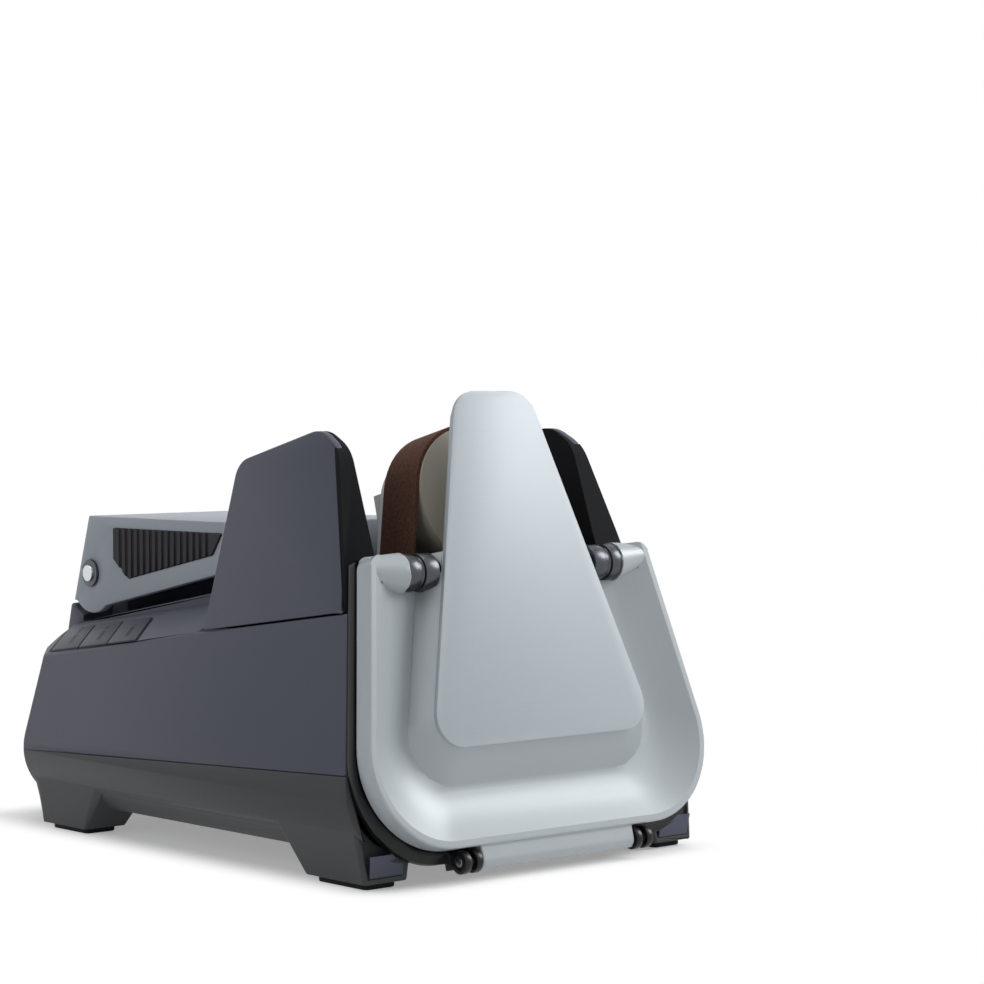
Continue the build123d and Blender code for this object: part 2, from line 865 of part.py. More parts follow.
# ---------------------------------------------------------------- housings
# The upper housing carries the guide's seat, the tower, the keys and the rear arm's pin.
with BuildPart() as upper_housing:
    add(outer_block)
    add(inner_block, mode=Mode.SUBTRACT)
    # Belt bay through the deck
    add(bay(tub_outer + part_gap, housing_front - over, slider_bay_back, far), mode=Mode.SUBTRACT)
    # Holes for the guide's pegs
    for side in (left, right):
        add(peg(side, 2 * peg_length, peg_length, peg_r + part_gap), mode=Mode.SUBTRACT)
    # Key holes
    for index in range(3):
        add(key_prism(index, 0, key_hole_top, key_hole_depth), mode=Mode.SUBTRACT)
    # Posts for the housing screws
    for x, y in post_places:
        add(post(x, y, parting_z(y), tower_z(y), post_r))
    # Floors and walls round the pockets for the rear arm's cheeks
    for side in (left, right):
        with BuildSketch(Plane.YZ.offset(side * (cheek_slot - wall))) as floor_ring:
            with Locations((pin_y, pin_z)):
                Circle(lobe_r + pocket_gap + wall)
        extrude(amount=side * (tower_half - cheek_slot + wall - pocket_rim))
    add(outer_block, mode=Mode.INTERSECT)
    add(rear_rim())
    for side in (left, right):
        add(pocket(side), mode=Mode.SUBTRACT)
    # Pedestal for the arm's pin
    add(block(-pedestal_half, pedestal_half, pin_y - pedestal_half_length, pin_y + pedestal_half_length,
              pin_z - pedestal_depth, pin_z))
    add(crossbar(-pedestal_half, pedestal_half, pin_y, pin_z, pedestal_half_length))
    add(crossbar(-pedestal_half, pedestal_half, pin_y, pin_z, pin_r + running_gap), mode=Mode.SUBTRACT)
    # Posts for the control board
    with BuildSketch(key_plane.offset(-wall / 2)):
        with Locations(*[on_shoulder(key_plane, x, y) for x, y in board_posts]):
            Circle(board_post_r)
    extrude(amount=-(board_depth - wall / 2))
    # Opening for the power inlet
    add(block(-inlet_half - part_gap, inlet_half + part_gap, inlet_face_y - inlet_depth, far,
              inlet_low_z - part_gap, inlet_high_z + part_gap), mode=Mode.SUBTRACT)
    for x, y in post_places:
        add(post(x, y, 0, parting_z(y) + screw_reach, screw_r), mode=Mode.SUBTRACT)
    split(bisect_by=parting_plane, keep=Keep.TOP)
save(upper_housing.part, "upper_housing")

# The lower housing is the tray on four flared legs.
with BuildPart() as lower_housing:
    add(outer_block)
    split(bisect_by=parting_plane, keep=Keep.BOTTOM)
    for side in (left, right):
        add(foot_leg(side, 0))
        add(foot_leg(side, 1))
    split(bisect_by=parting_plane, keep=Keep.BOTTOM)
    split(bisect_by=layer(housing_front), keep=Keep.BOTTOM)
    add(inner_block, mode=Mode.SUBTRACT)
    for side in (left, right):
        add(foot_panel(side), mode=Mode.SUBTRACT)
    # Posts for the housing screws
    for x, y in post_places:
        add(post(x, y, body_bottom, parting_z(y), post_r))
        add(post(x, y, body_bottom - over, body_bottom + screw_sink, screw_head_r + snug_gap), mode=Mode.SUBTRACT)
        add(post(x, y, body_bottom, parting_z(y) + over, screw_r), mode=Mode.SUBTRACT)
    # Recesses for the rubber pads
    for side in (left, right):
        for end in (0, 1):
            add(foot_pad_shape(side, end, pad_thickness), mode=Mode.SUBTRACT)
    # Vents under the motor
    with BuildSketch(Plane.XY):
        with Locations((0, vent_y)):
            with GridLocations(vent_pitch, 1, vent_count, 1):
                SlotOverall(vent_length, vent_width, rotation=90)
    extrude(amount=body_bottom + wall + over, mode=Mode.SUBTRACT)
save(lower_housing.part, "lower_housing")

# Rubber pads, one per leg
for side, side_name in ((left, "left"), (right, "right")):
    for end, end_name in enumerate(("front", "rear")):
        save(foot_pad_shape(side, end, pad_thickness), f"foot_pad_{end_name}_{side_name}")

with BuildPart() as housing_screws:
    for x, y in post_places:
        head = body_bottom + screw_sink - screw_head_height
        add(post(x, y, head, head + screw_head_height, screw_head_r))
        add(post(x, y, head, parting_z(y) + screw_reach, screw_r))
        add(post(x, y, head, head + screw_recess_depth, screw_recess_r), mode=Mode.SUBTRACT)
save(housing_screws.part, "housing_screws")

# ---------------------------------------------------------------- fascia behind the door
# Black front with the tub that the belt runs in, a recess for the door's back and the hinge lugs.
with BuildPart() as front_fascia:
    outline = tapered(layer(fascia_front), leaning_half(fascia_bottom_v, housing_front, fascia_inset),
                      leaning_half(door_top_v, housing_front, fascia_inset),
                      fascia_bottom_v, door_top_v, fascia_corner_r, fascia_top_r)
    extrude(to_extrude=outline, amount=-fascia_thickness)
    # Thicker centre, inside the housing
    outline = tapered(layer(housing_front),
                      leaning_half(fascia_core_bottom_v, housing_front, fascia_core_inset),
                      leaning_half(fascia_core_top_v, housing_front, fascia_core_inset),
                      fascia_core_bottom_v, fascia_core_top_v, fascia_core_r, fascia_top_r)
    extrude(to_extrude=outline, amount=-(door_back + part_gap + recess_thickness - housing_front))
    # Belt tub
    add(bay(tub_outer, housing_front, frame_front))
    for x, v in frame_screw_places:
        add(disc(x, v, housing_front, frame_screw_boss_r, frame_front - housing_front))
    add(bay(tub_inner, fascia_front - over, chamber_back, far), mode=Mode.SUBTRACT)
    # Recess for the door's back
    inset = door_back_inset - part_gap
    outline = tapered(layer(fascia_front - over), door_half_bottom - inset, door_half(far / 2) - inset,
                      door_bottom_v + inset, far / 2, door_corner_r - door_back_inset, spare_r)
    extrude(to_extrude=outline, amount=-(door_back + part_gap - fascia_front + over), mode=Mode.SUBTRACT)
    # Grooves for the door's bosses and rods
    add(crossbar(-door_half_top, door_half_top, rod_centre.Y, rod_centre.Z, boss_r + part_gap),
        mode=Mode.SUBTRACT)
    # Hinge lugs, each a pair of cheeks
    for side in (left, right):
        lug_from, lug_to = sorted((side * lug_inner_x, side * lug_outer_x))
        add(leaning_block(lug_from, lug_to, hinge_v - lug_r / 2, door_bottom_v - part_gap,
                          hinge_depth, housing_front))
        add(hinge_bar(lug_from, lug_to, lug_r))
        slot_from = (lug_from + lug_to - lug_slot) / 2
        add(leaning_block(slot_from, slot_from + lug_slot, 0, door_bottom_v, 0, fascia_front),
            mode=Mode.SUBTRACT)
    add(hinge_bar(-lug_inner_x, lug_inner_x, hinge_barrel_r + part_gap), mode=Mode.SUBTRACT)
    add(hinge_bar(-far, far, hinge_pin_r), mode=Mode.SUBTRACT)
    # Holes for the drive shaft, the idler axle, the magnets and the frame screws
    for x, radius in ((lower_pulley_x, axle_r + shaft_clearance), (-lower_pulley_x, axle_r)):
        add(disc(x, lower_pulley_v, chamber_back - over, radius, chamber_floor + 2 * over),
            mode=Mode.SUBTRACT)
    magnet_back = door_back + part_gap + magnet_thickness
    for side in (left, right):
        add(disc(side * magnet_x, magnet_v, fascia_front, magnet_r, magnet_back - fascia_front),
            mode=Mode.SUBTRACT)
    for x, v in frame_screw_places:
        add(disc(x, v, frame_back - frame_screw_length, screw_r, far), mode=Mode.SUBTRACT)
save(front_fascia.part, "front_fascia")

with BuildPart() as hinge_pin:
    add(hinge_bar(-lug_outer_x, lug_outer_x, hinge_pin_r))
save(hinge_pin.part, "hinge_pin")

with BuildPart() as door_magnets:
    for side in (left, right):
        add(disc(side * magnet_x, magnet_v, door_back + part_gap, magnet_r, magnet_thickness))
save(door_magnets.part, "door_magnets")

# ---------------------------------------------------------------- door
with BuildPart() as door_cover:
    add(door_shape(0, 0, door_band))
    add(door_shape(door_back_inset, door_band, door_back))
    # Dish, open at the top
    add(dish(), mode=Mode.SUBTRACT)
    # Pylon under the plate
    add(pylon())
    # Tongue that stiffens the plate above the door
    outline = tapered(layer(-plate_proud + plate_thickness), plate_half(rod_v, -tongue_inset),
                      plate_half(plate_top_v - tongue_inset, -tongue_inset),
                      rod_v, plate_top_v - tongue_inset, spare_r, plate_top_r - tongue_inset)
    extrude(to_extrude=outline, amount=-tongue_thickness)
    # Bosses for the rods
    for side in (left, right):
        add(rod_boss(side))
    for side in (left, right):
        add(rod_bar(side, rod_inner_x, boss_inner_x, rod_r), mode=Mode.SUBTRACT)
        add(rod_bar(side, rod_inner_x - rod_plug, rod_outer_x, rod_neck_r), mode=Mode.SUBTRACT)
    # Hinge tab, flat in front and round about the pin
    tab_end = Plane(origin=(-hinge_half, door_foot_y, 0), x_dir=(0, c_lean, -s_lean), z_dir=(1, 0, 0))
    with BuildSketch(tab_end):
        with BuildLine():
            Polyline((tab_front, tab_bottom_v), (tab_front, door_bottom_v + rim_width),
                     (door_band, door_bottom_v + rim_width), (door_band, hinge_v), close=True)
        make_face()
        with Locations((hinge_depth, hinge_v)):
            Circle(hinge_barrel_r)
        make_hull()
    extrude(amount=2 * hinge_half)
    add(hinge_bar(-far, far, hinge_pin_r + running_gap), mode=Mode.SUBTRACT)
    # Seats of the strikes
    for side in (left, right):
        add(disc(side * magnet_x, magnet_v, door_back - strike_thickness, magnet_r, far), mode=Mode.SUBTRACT)
save(door_cover.part, "door_cover")

with BuildPart() as front_plate:
    outline = tapered(layer(-plate_proud), plate_half(plate_bottom_v), plate_half(plate_top_v),
                      plate_bottom_v, plate_top_v, plate_corner_r, plate_top_r)
    extrude(to_extrude=outline, amount=-plate_thickness)
save(front_plate.part, "front_plate")

for side, side_name in ((left, "left"), (right, "right")):
    with BuildPart() as edge_guide:
        add(rod_bar(side, rod_inner_x, boss_inner_x, rod_r))
        add(rod_bar(side, rod_inner_x - rod_plug, rod_outer_x, rod_neck_r))
        groove_from = rod_inner_x + rod_groove_place - rod_groove_width / 2
        groove_to = groove_from + rod_groove_width
        add(rod_bar(side, groove_from, groove_to, rod_r + rod_groove_flank), mode=Mode.SUBTRACT)
        add(rod_bar(side, groove_from - rod_groove_flank, groove_to + rod_groove_flank,
                    rod_r - rod_groove_depth))
    save(edge_guide.part, f"edge_guide_{side_name}")

with BuildPart() as door_strikes:
    for side in (left, right):
        add(disc(side * magnet_x, magnet_v, door_back - strike_thickness, magnet_r, strike_thickness))
save(door_strikes.part, "door_strikes")

# ---------------------------------------------------------------- belt drive
# Frame plate with a mast up to the top pulley and a bearing boss for the drive shaft
with BuildPart() as belt_frame:
    extrude(to_extrude=pulley_loop(layer(frame_front), belt_thickness - frame_edge), amount=-frame_thickness)
    with BuildSketch(layer(frame_front)):
        with Locations((0, (frame_bottom_v + frame_shoulder_v) / 2)):
            RectangleRounded(2 * frame_half, frame_shoulder_v - frame_bottom_v, frame_corner_r)
    extrude(amount=-frame_thickness)
    add(disc(lower_pulley_x, lower_pulley_v, frame_front, bearing_r + bearing_wall,
             bearing_width + bearing_floor))
    add(disc(lower_pulley_x, lower_pulley_v, frame_front + bearing_floor, bearing_r, far), mode=Mode.SUBTRACT)
    add(disc(lower_pulley_x, lower_pulley_v, frame_front - over, axle_r + shaft_clearance,
             bearing_floor + 2 * over), mode=Mode.SUBTRACT)
    add(disc(-lower_pulley_x, lower_pulley_v, frame_front - over, axle_r, far), mode=Mode.SUBTRACT)
    # Rails and ledge for the tension slider and its spring
    rail_x = slider_half + part_gap
    rail_low = spring_bottom_v - ledge_height
    rail_high = top_pulley_v + slider_height / 2
    rail_back = slider_front + slider_depth
    for side in (left, right):
        rail_from, rail_to = sorted((side * rail_x, side * (rail_x + rail_width)))
        add(leaning_block(rail_from, rail_to, rail_low, rail_high, frame_back, rail_back))
    ledge_x = rail_x + rail_width / 2
    add(leaning_block(-ledge_x, ledge_x, rail_low, spring_bottom_v, frame_back, rail_back))
    with BuildSketch(layer(frame_front)):
        with Locations((0, top_pulley_v - tension_travel / 2)):
            SlotCenterToCenter(tension_travel, 2 * (axle_r + part_gap), rotation=90)
    extrude(amount=-frame_thickness, mode=Mode.SUBTRACT)
    for x, v in frame_screw_places:
        add(disc(x, v, frame_front - over, screw_r, far), mode=Mode.SUBTRACT)
save(belt_frame.part, "belt_frame")

with BuildPart() as frame_screws:
    for x, v in frame_screw_places:
        add(disc(x, v, frame_back, screw_head_r, screw_head_height))
        add(disc(x, v, frame_back - frame_screw_length, screw_r, frame_screw_length))
        add(disc(x, v, frame_back + screw_head_height - screw_recess_depth, screw_recess_r, far),
            mode=Mode.SUBTRACT)
save(frame_screws.part, "frame_screws")

with BuildPart() as frame_bearing:
    add(disc(lower_pulley_x, lower_pulley_v, frame_front + bearing_floor, bearing_r, bearing_width,
             axle_r + running_gap))
save(frame_bearing.part, "frame_bearing")

with BuildPart() as idler_axle:
    add(disc(-lower_pulley_x, lower_pulley_v, pulley_front - axle_head, axle_r,
             frame_back + idler_head_height - pulley_front + axle_head))
    add(disc(-lower_pulley_x, lower_pulley_v, frame_back, idler_head_r, idler_head_height))
save(idler_axle.part, "idler_axle")

with BuildPart() as idler_bush:
    add(disc(-lower_pulley_x, lower_pulley_v, pulley_front, axle_r + bush_wall, pulley_back - pulley_front,
             axle_r + running_gap))
save(idler_bush.part, "idler_bush")

with BuildPart() as idler_pulley:
    add(disc(-lower_pulley_x, lower_pulley_v, pulley_front, lower_pulley_r - running_gap,
             pulley_back - pulley_front, axle_r + bush_wall))
save(idler_pulley.part, "idler_pulley")

with BuildPart() as abrasive_belt:
    extrude(to_extrude=pulley_loop(layer(belt_front), belt_thickness), amount=-belt_width)
    extrude(to_extrude=pulley_loop(layer(belt_front), 0), amount=-belt_width, mode=Mode.SUBTRACT)
save(abrasive_belt.part, "abrasive_belt")

with BuildPart() as drive_shaft:
    add(disc(lower_pulley_x, lower_pulley_v, pulley_front - axle_head, axle_r,
             bracket_back - pulley_front + axle_head / 2))
save(drive_shaft.part, "drive_shaft")

with BuildPart() as drive_pulley:
    add(disc(lower_pulley_x, lower_pulley_v, pulley_front, lower_pulley_r - running_gap,
             pulley_back - pulley_front, axle_r))
save(drive_pulley.part, "drive_pulley")

driven_wheel = toothed(lower_pulley_x, lower_pulley_v, toothed_wheel_r, axle_r)
save(driven_wheel, "driven_wheel")

motor_pulley = toothed(0, motor_v, motor_pulley_r, motor_shaft_r)
save(motor_pulley, "motor_pulley")

with BuildPart() as toothed_belt:
    belt_layer = layer(wheel_front + (toothed_pulley_width - toothed_belt_width) / 2)
    extrude(to_extrude=drive_loop(belt_layer, toothed_belt_thickness), amount=-toothed_belt_width)
    extrude(to_extrude=drive_loop(belt_layer, 0), amount=-toothed_belt_width, mode=Mode.SUBTRACT)
save(toothed_belt.part, "toothed_belt")

# Tension slider with the top pulley's axle
with BuildPart() as tension_slider:
    add(leaning_block(-slider_half, slider_half, top_pulley_v - slider_height / 2,
                      top_pulley_v + slider_height / 2, slider_front, slider_front + slider_depth))
    add(disc(0, top_pulley_v, slider_front - over, axle_r, far), mode=Mode.SUBTRACT)
save(tension_slider.part, "tension_slider")

with BuildPart() as top_axle:
    add(disc(0, top_pulley_v, pulley_front - axle_head, axle_r,
             slider_front + slider_depth - pulley_front + axle_head))
save(top_axle.part, "top_axle")

with BuildPart() as top_pulley:
    add(disc(0, top_pulley_v, pulley_front, top_pulley_r - running_gap, pulley_back - pulley_front,
             axle_r + running_gap))
save(top_pulley.part, "top_pulley")

with BuildPart() as tension_spring:
    spring_pitch = (spring_length - 2 * spring_wire_r) / spring_turns
    with BuildLine() as coil:
        Helix(spring_pitch, spring_length - 2 * spring_wire_r, spring_r)
    with BuildSketch(Plane(origin=coil.line @ 0, z_dir=coil.line % 0)):
        Circle(spring_wire_r)
    sweep(is_frenet=True)
foot = spot(0, spring_bottom_v + spring_wire_r, spring_depth)
tension_spring_placed = Location((foot.X, foot.Y, foot.Z), (-lean, 0, 0)) * tension_spring.part
save(tension_spring_placed, "tension_spring")

# ---------------------------------------------------------------- motor
with BuildPart() as motor_bracket:
    with BuildSketch(layer(bracket_front)):
        with BuildLine():
            Polyline(*bracket_outline, close=True)
        make_face()
    extrude(amount=-bracket_thickness)
    for x, v in bracket_posts:
        add(disc(x, v, frame_back, bracket_post_r, bracket_front - frame_back))
    add(disc(0, motor_v, bracket_front - over, motor_boss_r, far), mode=Mode.SUBTRACT)
    add(disc(lower_pulley_x, lower_pulley_v, bracket_front - over, bearing_r, far), mode=Mode.SUBTRACT)
    for side in (left, right):
        add(disc(side * motor_screw_x, motor_v, bracket_front - over, screw_r, far), mode=Mode.SUBTRACT)
save(motor_bracket.part, "motor_bracket")

with BuildPart() as bracket_bearing:
    add(disc(lower_pulley_x, lower_pulley_v, bracket_front, bearing_r, rear_bearing_width,
             axle_r + running_gap))
save(bracket_bearing.part, "bracket_bearing")

with BuildPart() as motor_can:
    add(disc(0, motor_v, bracket_back, motor_r, motor_length))
    add(disc(0, motor_v, bracket_back - motor_boss_length, motor_boss_r, motor_boss_length))
    add(disc(0, motor_v, bracket_back + can_wall, motor_r - can_wall, far), mode=Mode.SUBTRACT)
    add(disc(0, motor_v, bracket_front - over, motor_shaft_r + running_gap, far), mode=Mode.SUBTRACT)
    for side in (left, right):
        add(disc(side * motor_screw_x, motor_v, bracket_front, screw_r, far), mode=Mode.SUBTRACT)
save(motor_can.part, "motor_can")

can_back = bracket_back + motor_length
with BuildPart() as motor_end_cap:
    add(disc(0, motor_v, can_back, motor_r, motor_cap, motor_shaft_r + running_gap))
    add(disc(0, motor_v, can_back - cap_spigot, motor_r - can_wall, cap_spigot,
             motor_r - can_wall - cap_spigot))
save(motor_end_cap.part, "motor_end_cap")

with BuildPart() as motor_screws:
    for side in (left, right):
        x = side * motor_screw_x
        add(disc(x, motor_v, bracket_front - motor_screw_head, screw_head_r, motor_screw_head))
        add(disc(x, motor_v, bracket_front, screw_r, bracket_thickness + can_wall))
save(motor_screws.part, "motor_screws")

fan_front = can_back + motor_cap + fan_gap
with BuildPart() as motor_shaft:
    add(disc(0, motor_v, wheel_front - shaft_end, motor_shaft_r,
             fan_front + fan_width - wheel_front + 2 * shaft_end))
save(motor_shaft.part, "motor_shaft")

with BuildPart() as motor_rotor:
    add(disc(0, motor_v, bracket_back + rotor_gap, rotor_r, motor_length - 2 * rotor_gap, motor_shaft_r))
    add(disc(0, motor_v, can_back - rotor_gap, commutator_r, commutator_length, motor_shaft_r))
save(motor_rotor.part, "motor_rotor")

with BuildPart() as cooling_fan:
    add(disc(0, motor_v, fan_front, fan_hub_r, fan_width))
    add(disc(0, motor_v, fan_front, fan_r, fan_plate))
    with BuildSketch(layer(fan_front)):
        with Locations((0, motor_v)):
            with PolarLocations((fan_r + fan_hub_r - fan_blade) / 2, fan_blades):
                Rectangle(fan_r - fan_hub_r, fan_blade, rotation=fan_twist)
    extrude(amount=-fan_width)
    add(disc(0, motor_v, fan_front - over, motor_shaft_r, far), mode=Mode.SUBTRACT)
save(cooling_fan.part, "cooling_fan")

# ---------------------------------------------------------------- lift-off blade guide
with BuildPart() as guide_frame:
    for side in (left, right):
        add(fin(side, fin_inner_x, fin_cover))
        add(fin_edge(side))
    # Bridge behind the belt, with its pegs
    underside = [(y, seat_z(y) + part_gap) for y in (bridge_front_y, bridge_rear_y)]
    with BuildSketch(Plane.YZ.offset(-fin_inner_x)):
        with BuildLine():
            Polyline(*underside, *[(y, z + bridge_thickness) for y, z in reversed(underside)], close=True)
        make_face()
    extrude(amount=2 * fin_inner_x)
    for side in (left, right):
        add(peg(side, peg_length, bridge_thickness / 2, peg_r))
save(guide_frame.part, "guide_frame")

for side, side_name in ((left, "left"), (right, "right")):
    with BuildPart() as guide_cover:
        add(fin(side, 0, 0))
        add(fin(side, 0, fin_cover), mode=Mode.SUBTRACT)
        add(fin_front_lip(side), mode=Mode.SUBTRACT)
    save(guide_cover.part, f"guide_cover_{side_name}")

# ---------------------------------------------------------------- fold-up arm at the rear
arm_rear_edge = arm_outline[3:6]
arm_top_z = arm_outline[-1][1]
with BuildPart() as honing_arm:
    with BuildSketch(Plane.YZ.offset(-arm_half)) as view:
        with BuildLine():
            Polyline(*arm_outline, close=True)
        make_face()
        with Locations((pin_y, pin_z)):
            Circle(lobe_r)
        # The lobe is cut off along the arm's rear edge
        with BuildLine():
            Polyline(*arm_rear_edge, (far, arm_rear_edge[-1][1]), (far, arm_rear_edge[0][1]), close=True)
        make_face(mode=Mode.SUBTRACT)
    extrude(amount=2 * arm_half)
    inner = arm_half - arm_cheek
    add(block(-inner, inner, arm_outline[0][0] + arm_web, far, 0, arm_top_z - arm_web), mode=Mode.SUBTRACT)
    # Rear wall
    with BuildSketch(Plane.YZ.offset(-inner)):
        with BuildLine():
            rear_face = arm_rear_edge[1:]
            Polyline(*rear_face, *[(y - arm_web, z) for y, z in reversed(rear_face)], close=True)
        make_face()
    extrude(amount=2 * inner)
    # Recesses for the grips, bores for the pin, holders of the honing rod
    for side in (left, right):
        with BuildSketch(Plane.YZ.offset(side * (arm_half - grip_recess))):
            with BuildLine():
                Polyline(*grip_outline, close=True)
            make_face()
        extrude(amount=side * (grip_recess + over), mode=Mode.SUBTRACT)
    rear_holder_y = honing_rod_rear_y - holder_inset - holder_length
    for y in (honing_rod_front_y + holder_inset, rear_holder_y):
        with BuildSketch(Plane.XZ.offset(-y)):
            with Locations((0, honing_rod_z)):
                Circle(holder_r)
            with Locations((0, (honing_rod_z + arm_top_z - arm_web / 2) / 2)):
                Rectangle(2 * holder_r, arm_top_z - arm_web / 2 - honing_rod_z)
        extrude(amount=-holder_length)
    with BuildSketch(Plane.XZ.offset(-honing_rod_front_y)):
        with Locations((0, honing_rod_z)):
            Circle(honing_rod_r)
    extrude(amount=-(honing_rod_rear_y - honing_rod_front_y), mode=Mode.SUBTRACT)
    add(crossbar(-far, far, pin_y, pin_z, pin_r), mode=Mode.SUBTRACT)
save(honing_arm.part, "honing_arm")

with BuildPart() as honing_rod:
    with BuildSketch(Plane.XZ.offset(-honing_rod_front_y)):
        with Locations((0, honing_rod_z)):
            Circle(honing_rod_r)
    extrude(amount=-(honing_rod_rear_y - honing_rod_front_y))
save(honing_rod.part, "honing_rod")

for side, side_name in ((left, "left"), (right, "right")):
    with BuildPart() as arm_grip:
        with BuildSketch(Plane.YZ.offset(side * (arm_half - grip_recess))):
            with BuildLine():
                Polyline(*grip_outline, close=True)
            make_face()
        extrude(amount=side * (grip_recess + grip_proud))
        with BuildSketch(Plane.YZ.offset(side * (arm_half + grip_proud - grip_groove_depth))):
            for index in range(grip_grooves):
                with Locations((grip_first_y + index * grip_pitch, honing_rod_z)):
                    Rectangle(grip_groove_width, far)
        extrude(amount=side * (grip_groove_depth + over), mode=Mode.SUBTRACT)
    save(arm_grip.part, f"arm_grip_{side_name}")

with BuildPart() as arm_pin:
    add(crossbar(-pin_end_x, pin_end_x, pin_y, pin_z, pin_r))
save(arm_pin.part, "arm_pin")

with BuildPart() as pin_clips:
    for side in (left, right):
        clip_inner_x = arm_half + snug_gap
        clip_from, clip_to = sorted((side * clip_inner_x, side * (clip_inner_x + clip_thickness)))
        add(crossbar(clip_from, clip_to, pin_y, pin_z, clip_r))
    add(crossbar(-far, far, pin_y, pin_z, pin_r), mode=Mode.SUBTRACT)
    add(block(-far, far, pin_y, pin_y + 2 * clip_r, pin_z - clip_slot, pin_z + clip_slot), mode=Mode.SUBTRACT)
save(pin_clips.part, "pin_clips")

# ---------------------------------------------------------------- keys, control board, power inlet
for index, key_name in enumerate(("front", "middle", "rear")):
    with BuildPart() as key:
        add(key_prism(index, button_gap / 2, button_proud, button_thickness))
        x_middle = -(button_outer_x + button_inner_x) / 2
        y_middle = button_first_y + (index + 0.5) * button_pitch + button_shear / 2
        with BuildSketch(key_plane.offset(button_proud - button_thickness)):
            with Locations(on_shoulder(key_plane, x_middle, y_middle)):
                Circle(button_stem_r)
        extrude(amount=-(board_depth - switch_height - button_travel - part_gap + button_proud
                         - button_thickness))
    save(key.part, f"key_{key_name}")

with BuildPart() as control_board:
    corners = [(-board_outer_x, board_front_y), (-board_inner_x, board_front_y),
               (-board_inner_x, board_rear_y), (-board_outer_x, board_rear_y)]
    outline = polygon(key_plane.offset(-board_depth), [on_shoulder(key_plane, x, y) for x, y in corners])
    extrude(to_extrude=outline, amount=-board_thickness)
save(control_board.part, "control_board")

with BuildPart() as key_switches:
    for index in range(3):
        x_middle = -(button_outer_x + button_inner_x) / 2
        y_middle = button_first_y + (index + 0.5) * button_pitch + button_shear / 2
        with BuildSketch(key_plane.offset(-board_depth)):
            with Locations(on_shoulder(key_plane, x_middle, y_middle)):
                Rectangle(switch_size, switch_size)
        extrude(amount=switch_height - button_travel)
        with BuildSketch(key_plane.offset(-board_depth)):
            with Locations(on_shoulder(key_plane, x_middle, y_middle)):
                Circle(switch_size / 4)
        extrude(amount=switch_height)
save(key_switches.part, "key_switches")

with BuildPart() as power_inlet:
    add(block(-inlet_half, inlet_half, inlet_face_y - inlet_depth, inlet_face_y, inlet_low_z, inlet_high_z))
    middle_z = (inlet_low_z + inlet_high_z) / 2
    with BuildSketch(Plane.XZ.offset(-inlet_face_y)):
        with Locations((0, middle_z)):
            RectangleRounded(2 * socket_half, 2 * socket_half_height, socket_corner_r)
    extrude(amount=socket_depth, mode=Mode.SUBTRACT)
    with BuildSketch(Plane.XZ.offset(-(inlet_face_y - socket_depth))):
        with Locations((-contact_x, middle_z), (contact_x, middle_z)):
            Circle(contact_r)
    extrude(amount=-(socket_depth - contact_inset))
save(power_inlet.part, "power_inlet")
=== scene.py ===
"""Electric belt sharpener for kitchen knives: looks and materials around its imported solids, in metres."""
import math

import bpy
import bmesh
from mathutils import Matrix, Vector


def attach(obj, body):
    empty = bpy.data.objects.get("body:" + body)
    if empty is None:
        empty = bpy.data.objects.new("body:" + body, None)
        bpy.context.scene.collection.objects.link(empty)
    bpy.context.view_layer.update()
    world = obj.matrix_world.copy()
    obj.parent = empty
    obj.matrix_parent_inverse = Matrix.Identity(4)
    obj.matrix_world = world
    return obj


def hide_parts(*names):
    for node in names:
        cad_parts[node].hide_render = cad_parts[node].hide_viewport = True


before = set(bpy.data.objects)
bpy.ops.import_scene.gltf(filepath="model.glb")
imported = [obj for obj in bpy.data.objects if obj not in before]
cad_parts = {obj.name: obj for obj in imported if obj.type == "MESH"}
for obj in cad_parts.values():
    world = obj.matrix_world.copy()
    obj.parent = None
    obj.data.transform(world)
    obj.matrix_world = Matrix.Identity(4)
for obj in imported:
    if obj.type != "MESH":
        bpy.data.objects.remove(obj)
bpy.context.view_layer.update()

# ------------------------------------------------------------------ camera
# A long lens looks at the left front corner from just above the table.
camera_data = bpy.data.cameras.new("viewpoint")
camera = bpy.data.objects.new("viewpoint", camera_data)
bpy.context.scene.collection.objects.link(camera)
camera_data.sensor_width = 36.0
camera_data.lens = 103.12
camera_data.clip_start = 0.05
camera.matrix_world = (
    Matrix.Translation((-0.43489, -0.56712, 0.10759))
    @ Matrix.Rotation(math.radians(-40.848), 4, "Z")
    @ Matrix.Rotation(math.radians(90 - 1.754), 4, "X")
    @ Matrix.Rotation(math.radians(-0.314), 4, "Z")
)
bpy.context.scene.camera = camera
bpy.context.scene.view_settings.view_transform = "Standard"


# ------------------------------------------------------------------ table and light
# A white table keeps the machine's shadow close to it and turns to plain white further out. One large
# soft lamp stands to the front right, a smaller one above, a weak one to the left.
def linear(code):
    """Linear colour of an sRGB hex code such as 'b8c0c6'."""
    parts = [int(code[place:place + 2], 16) / 255 for place in (0, 2, 4)]
    return [p / 12.92 if p <= 0.04045 else ((p + 0.055) / 1.055) ** 2.4 for p in parts] + [1.0]


def add_node(tree, kind, settings=None, links=None):
    """Adds a shader or geometry node, sets its values by name and joins its inputs."""
    new = tree.nodes.new(kind)
    for key, value in (settings or {}).items():
        if isinstance(key, str) and hasattr(new, key):
            setattr(new, key, value)
        else:
            new.inputs[key].default_value = value
    for key, output in (links or {}).items():
        tree.links.new(output, new.inputs[key])
    return new


def empty_material(name):
    """New material with an empty node tree."""
    finish = bpy.data.materials.new(name)
    finish.use_nodes = True
    finish.node_tree.nodes.clear()
    return finish, finish.node_tree


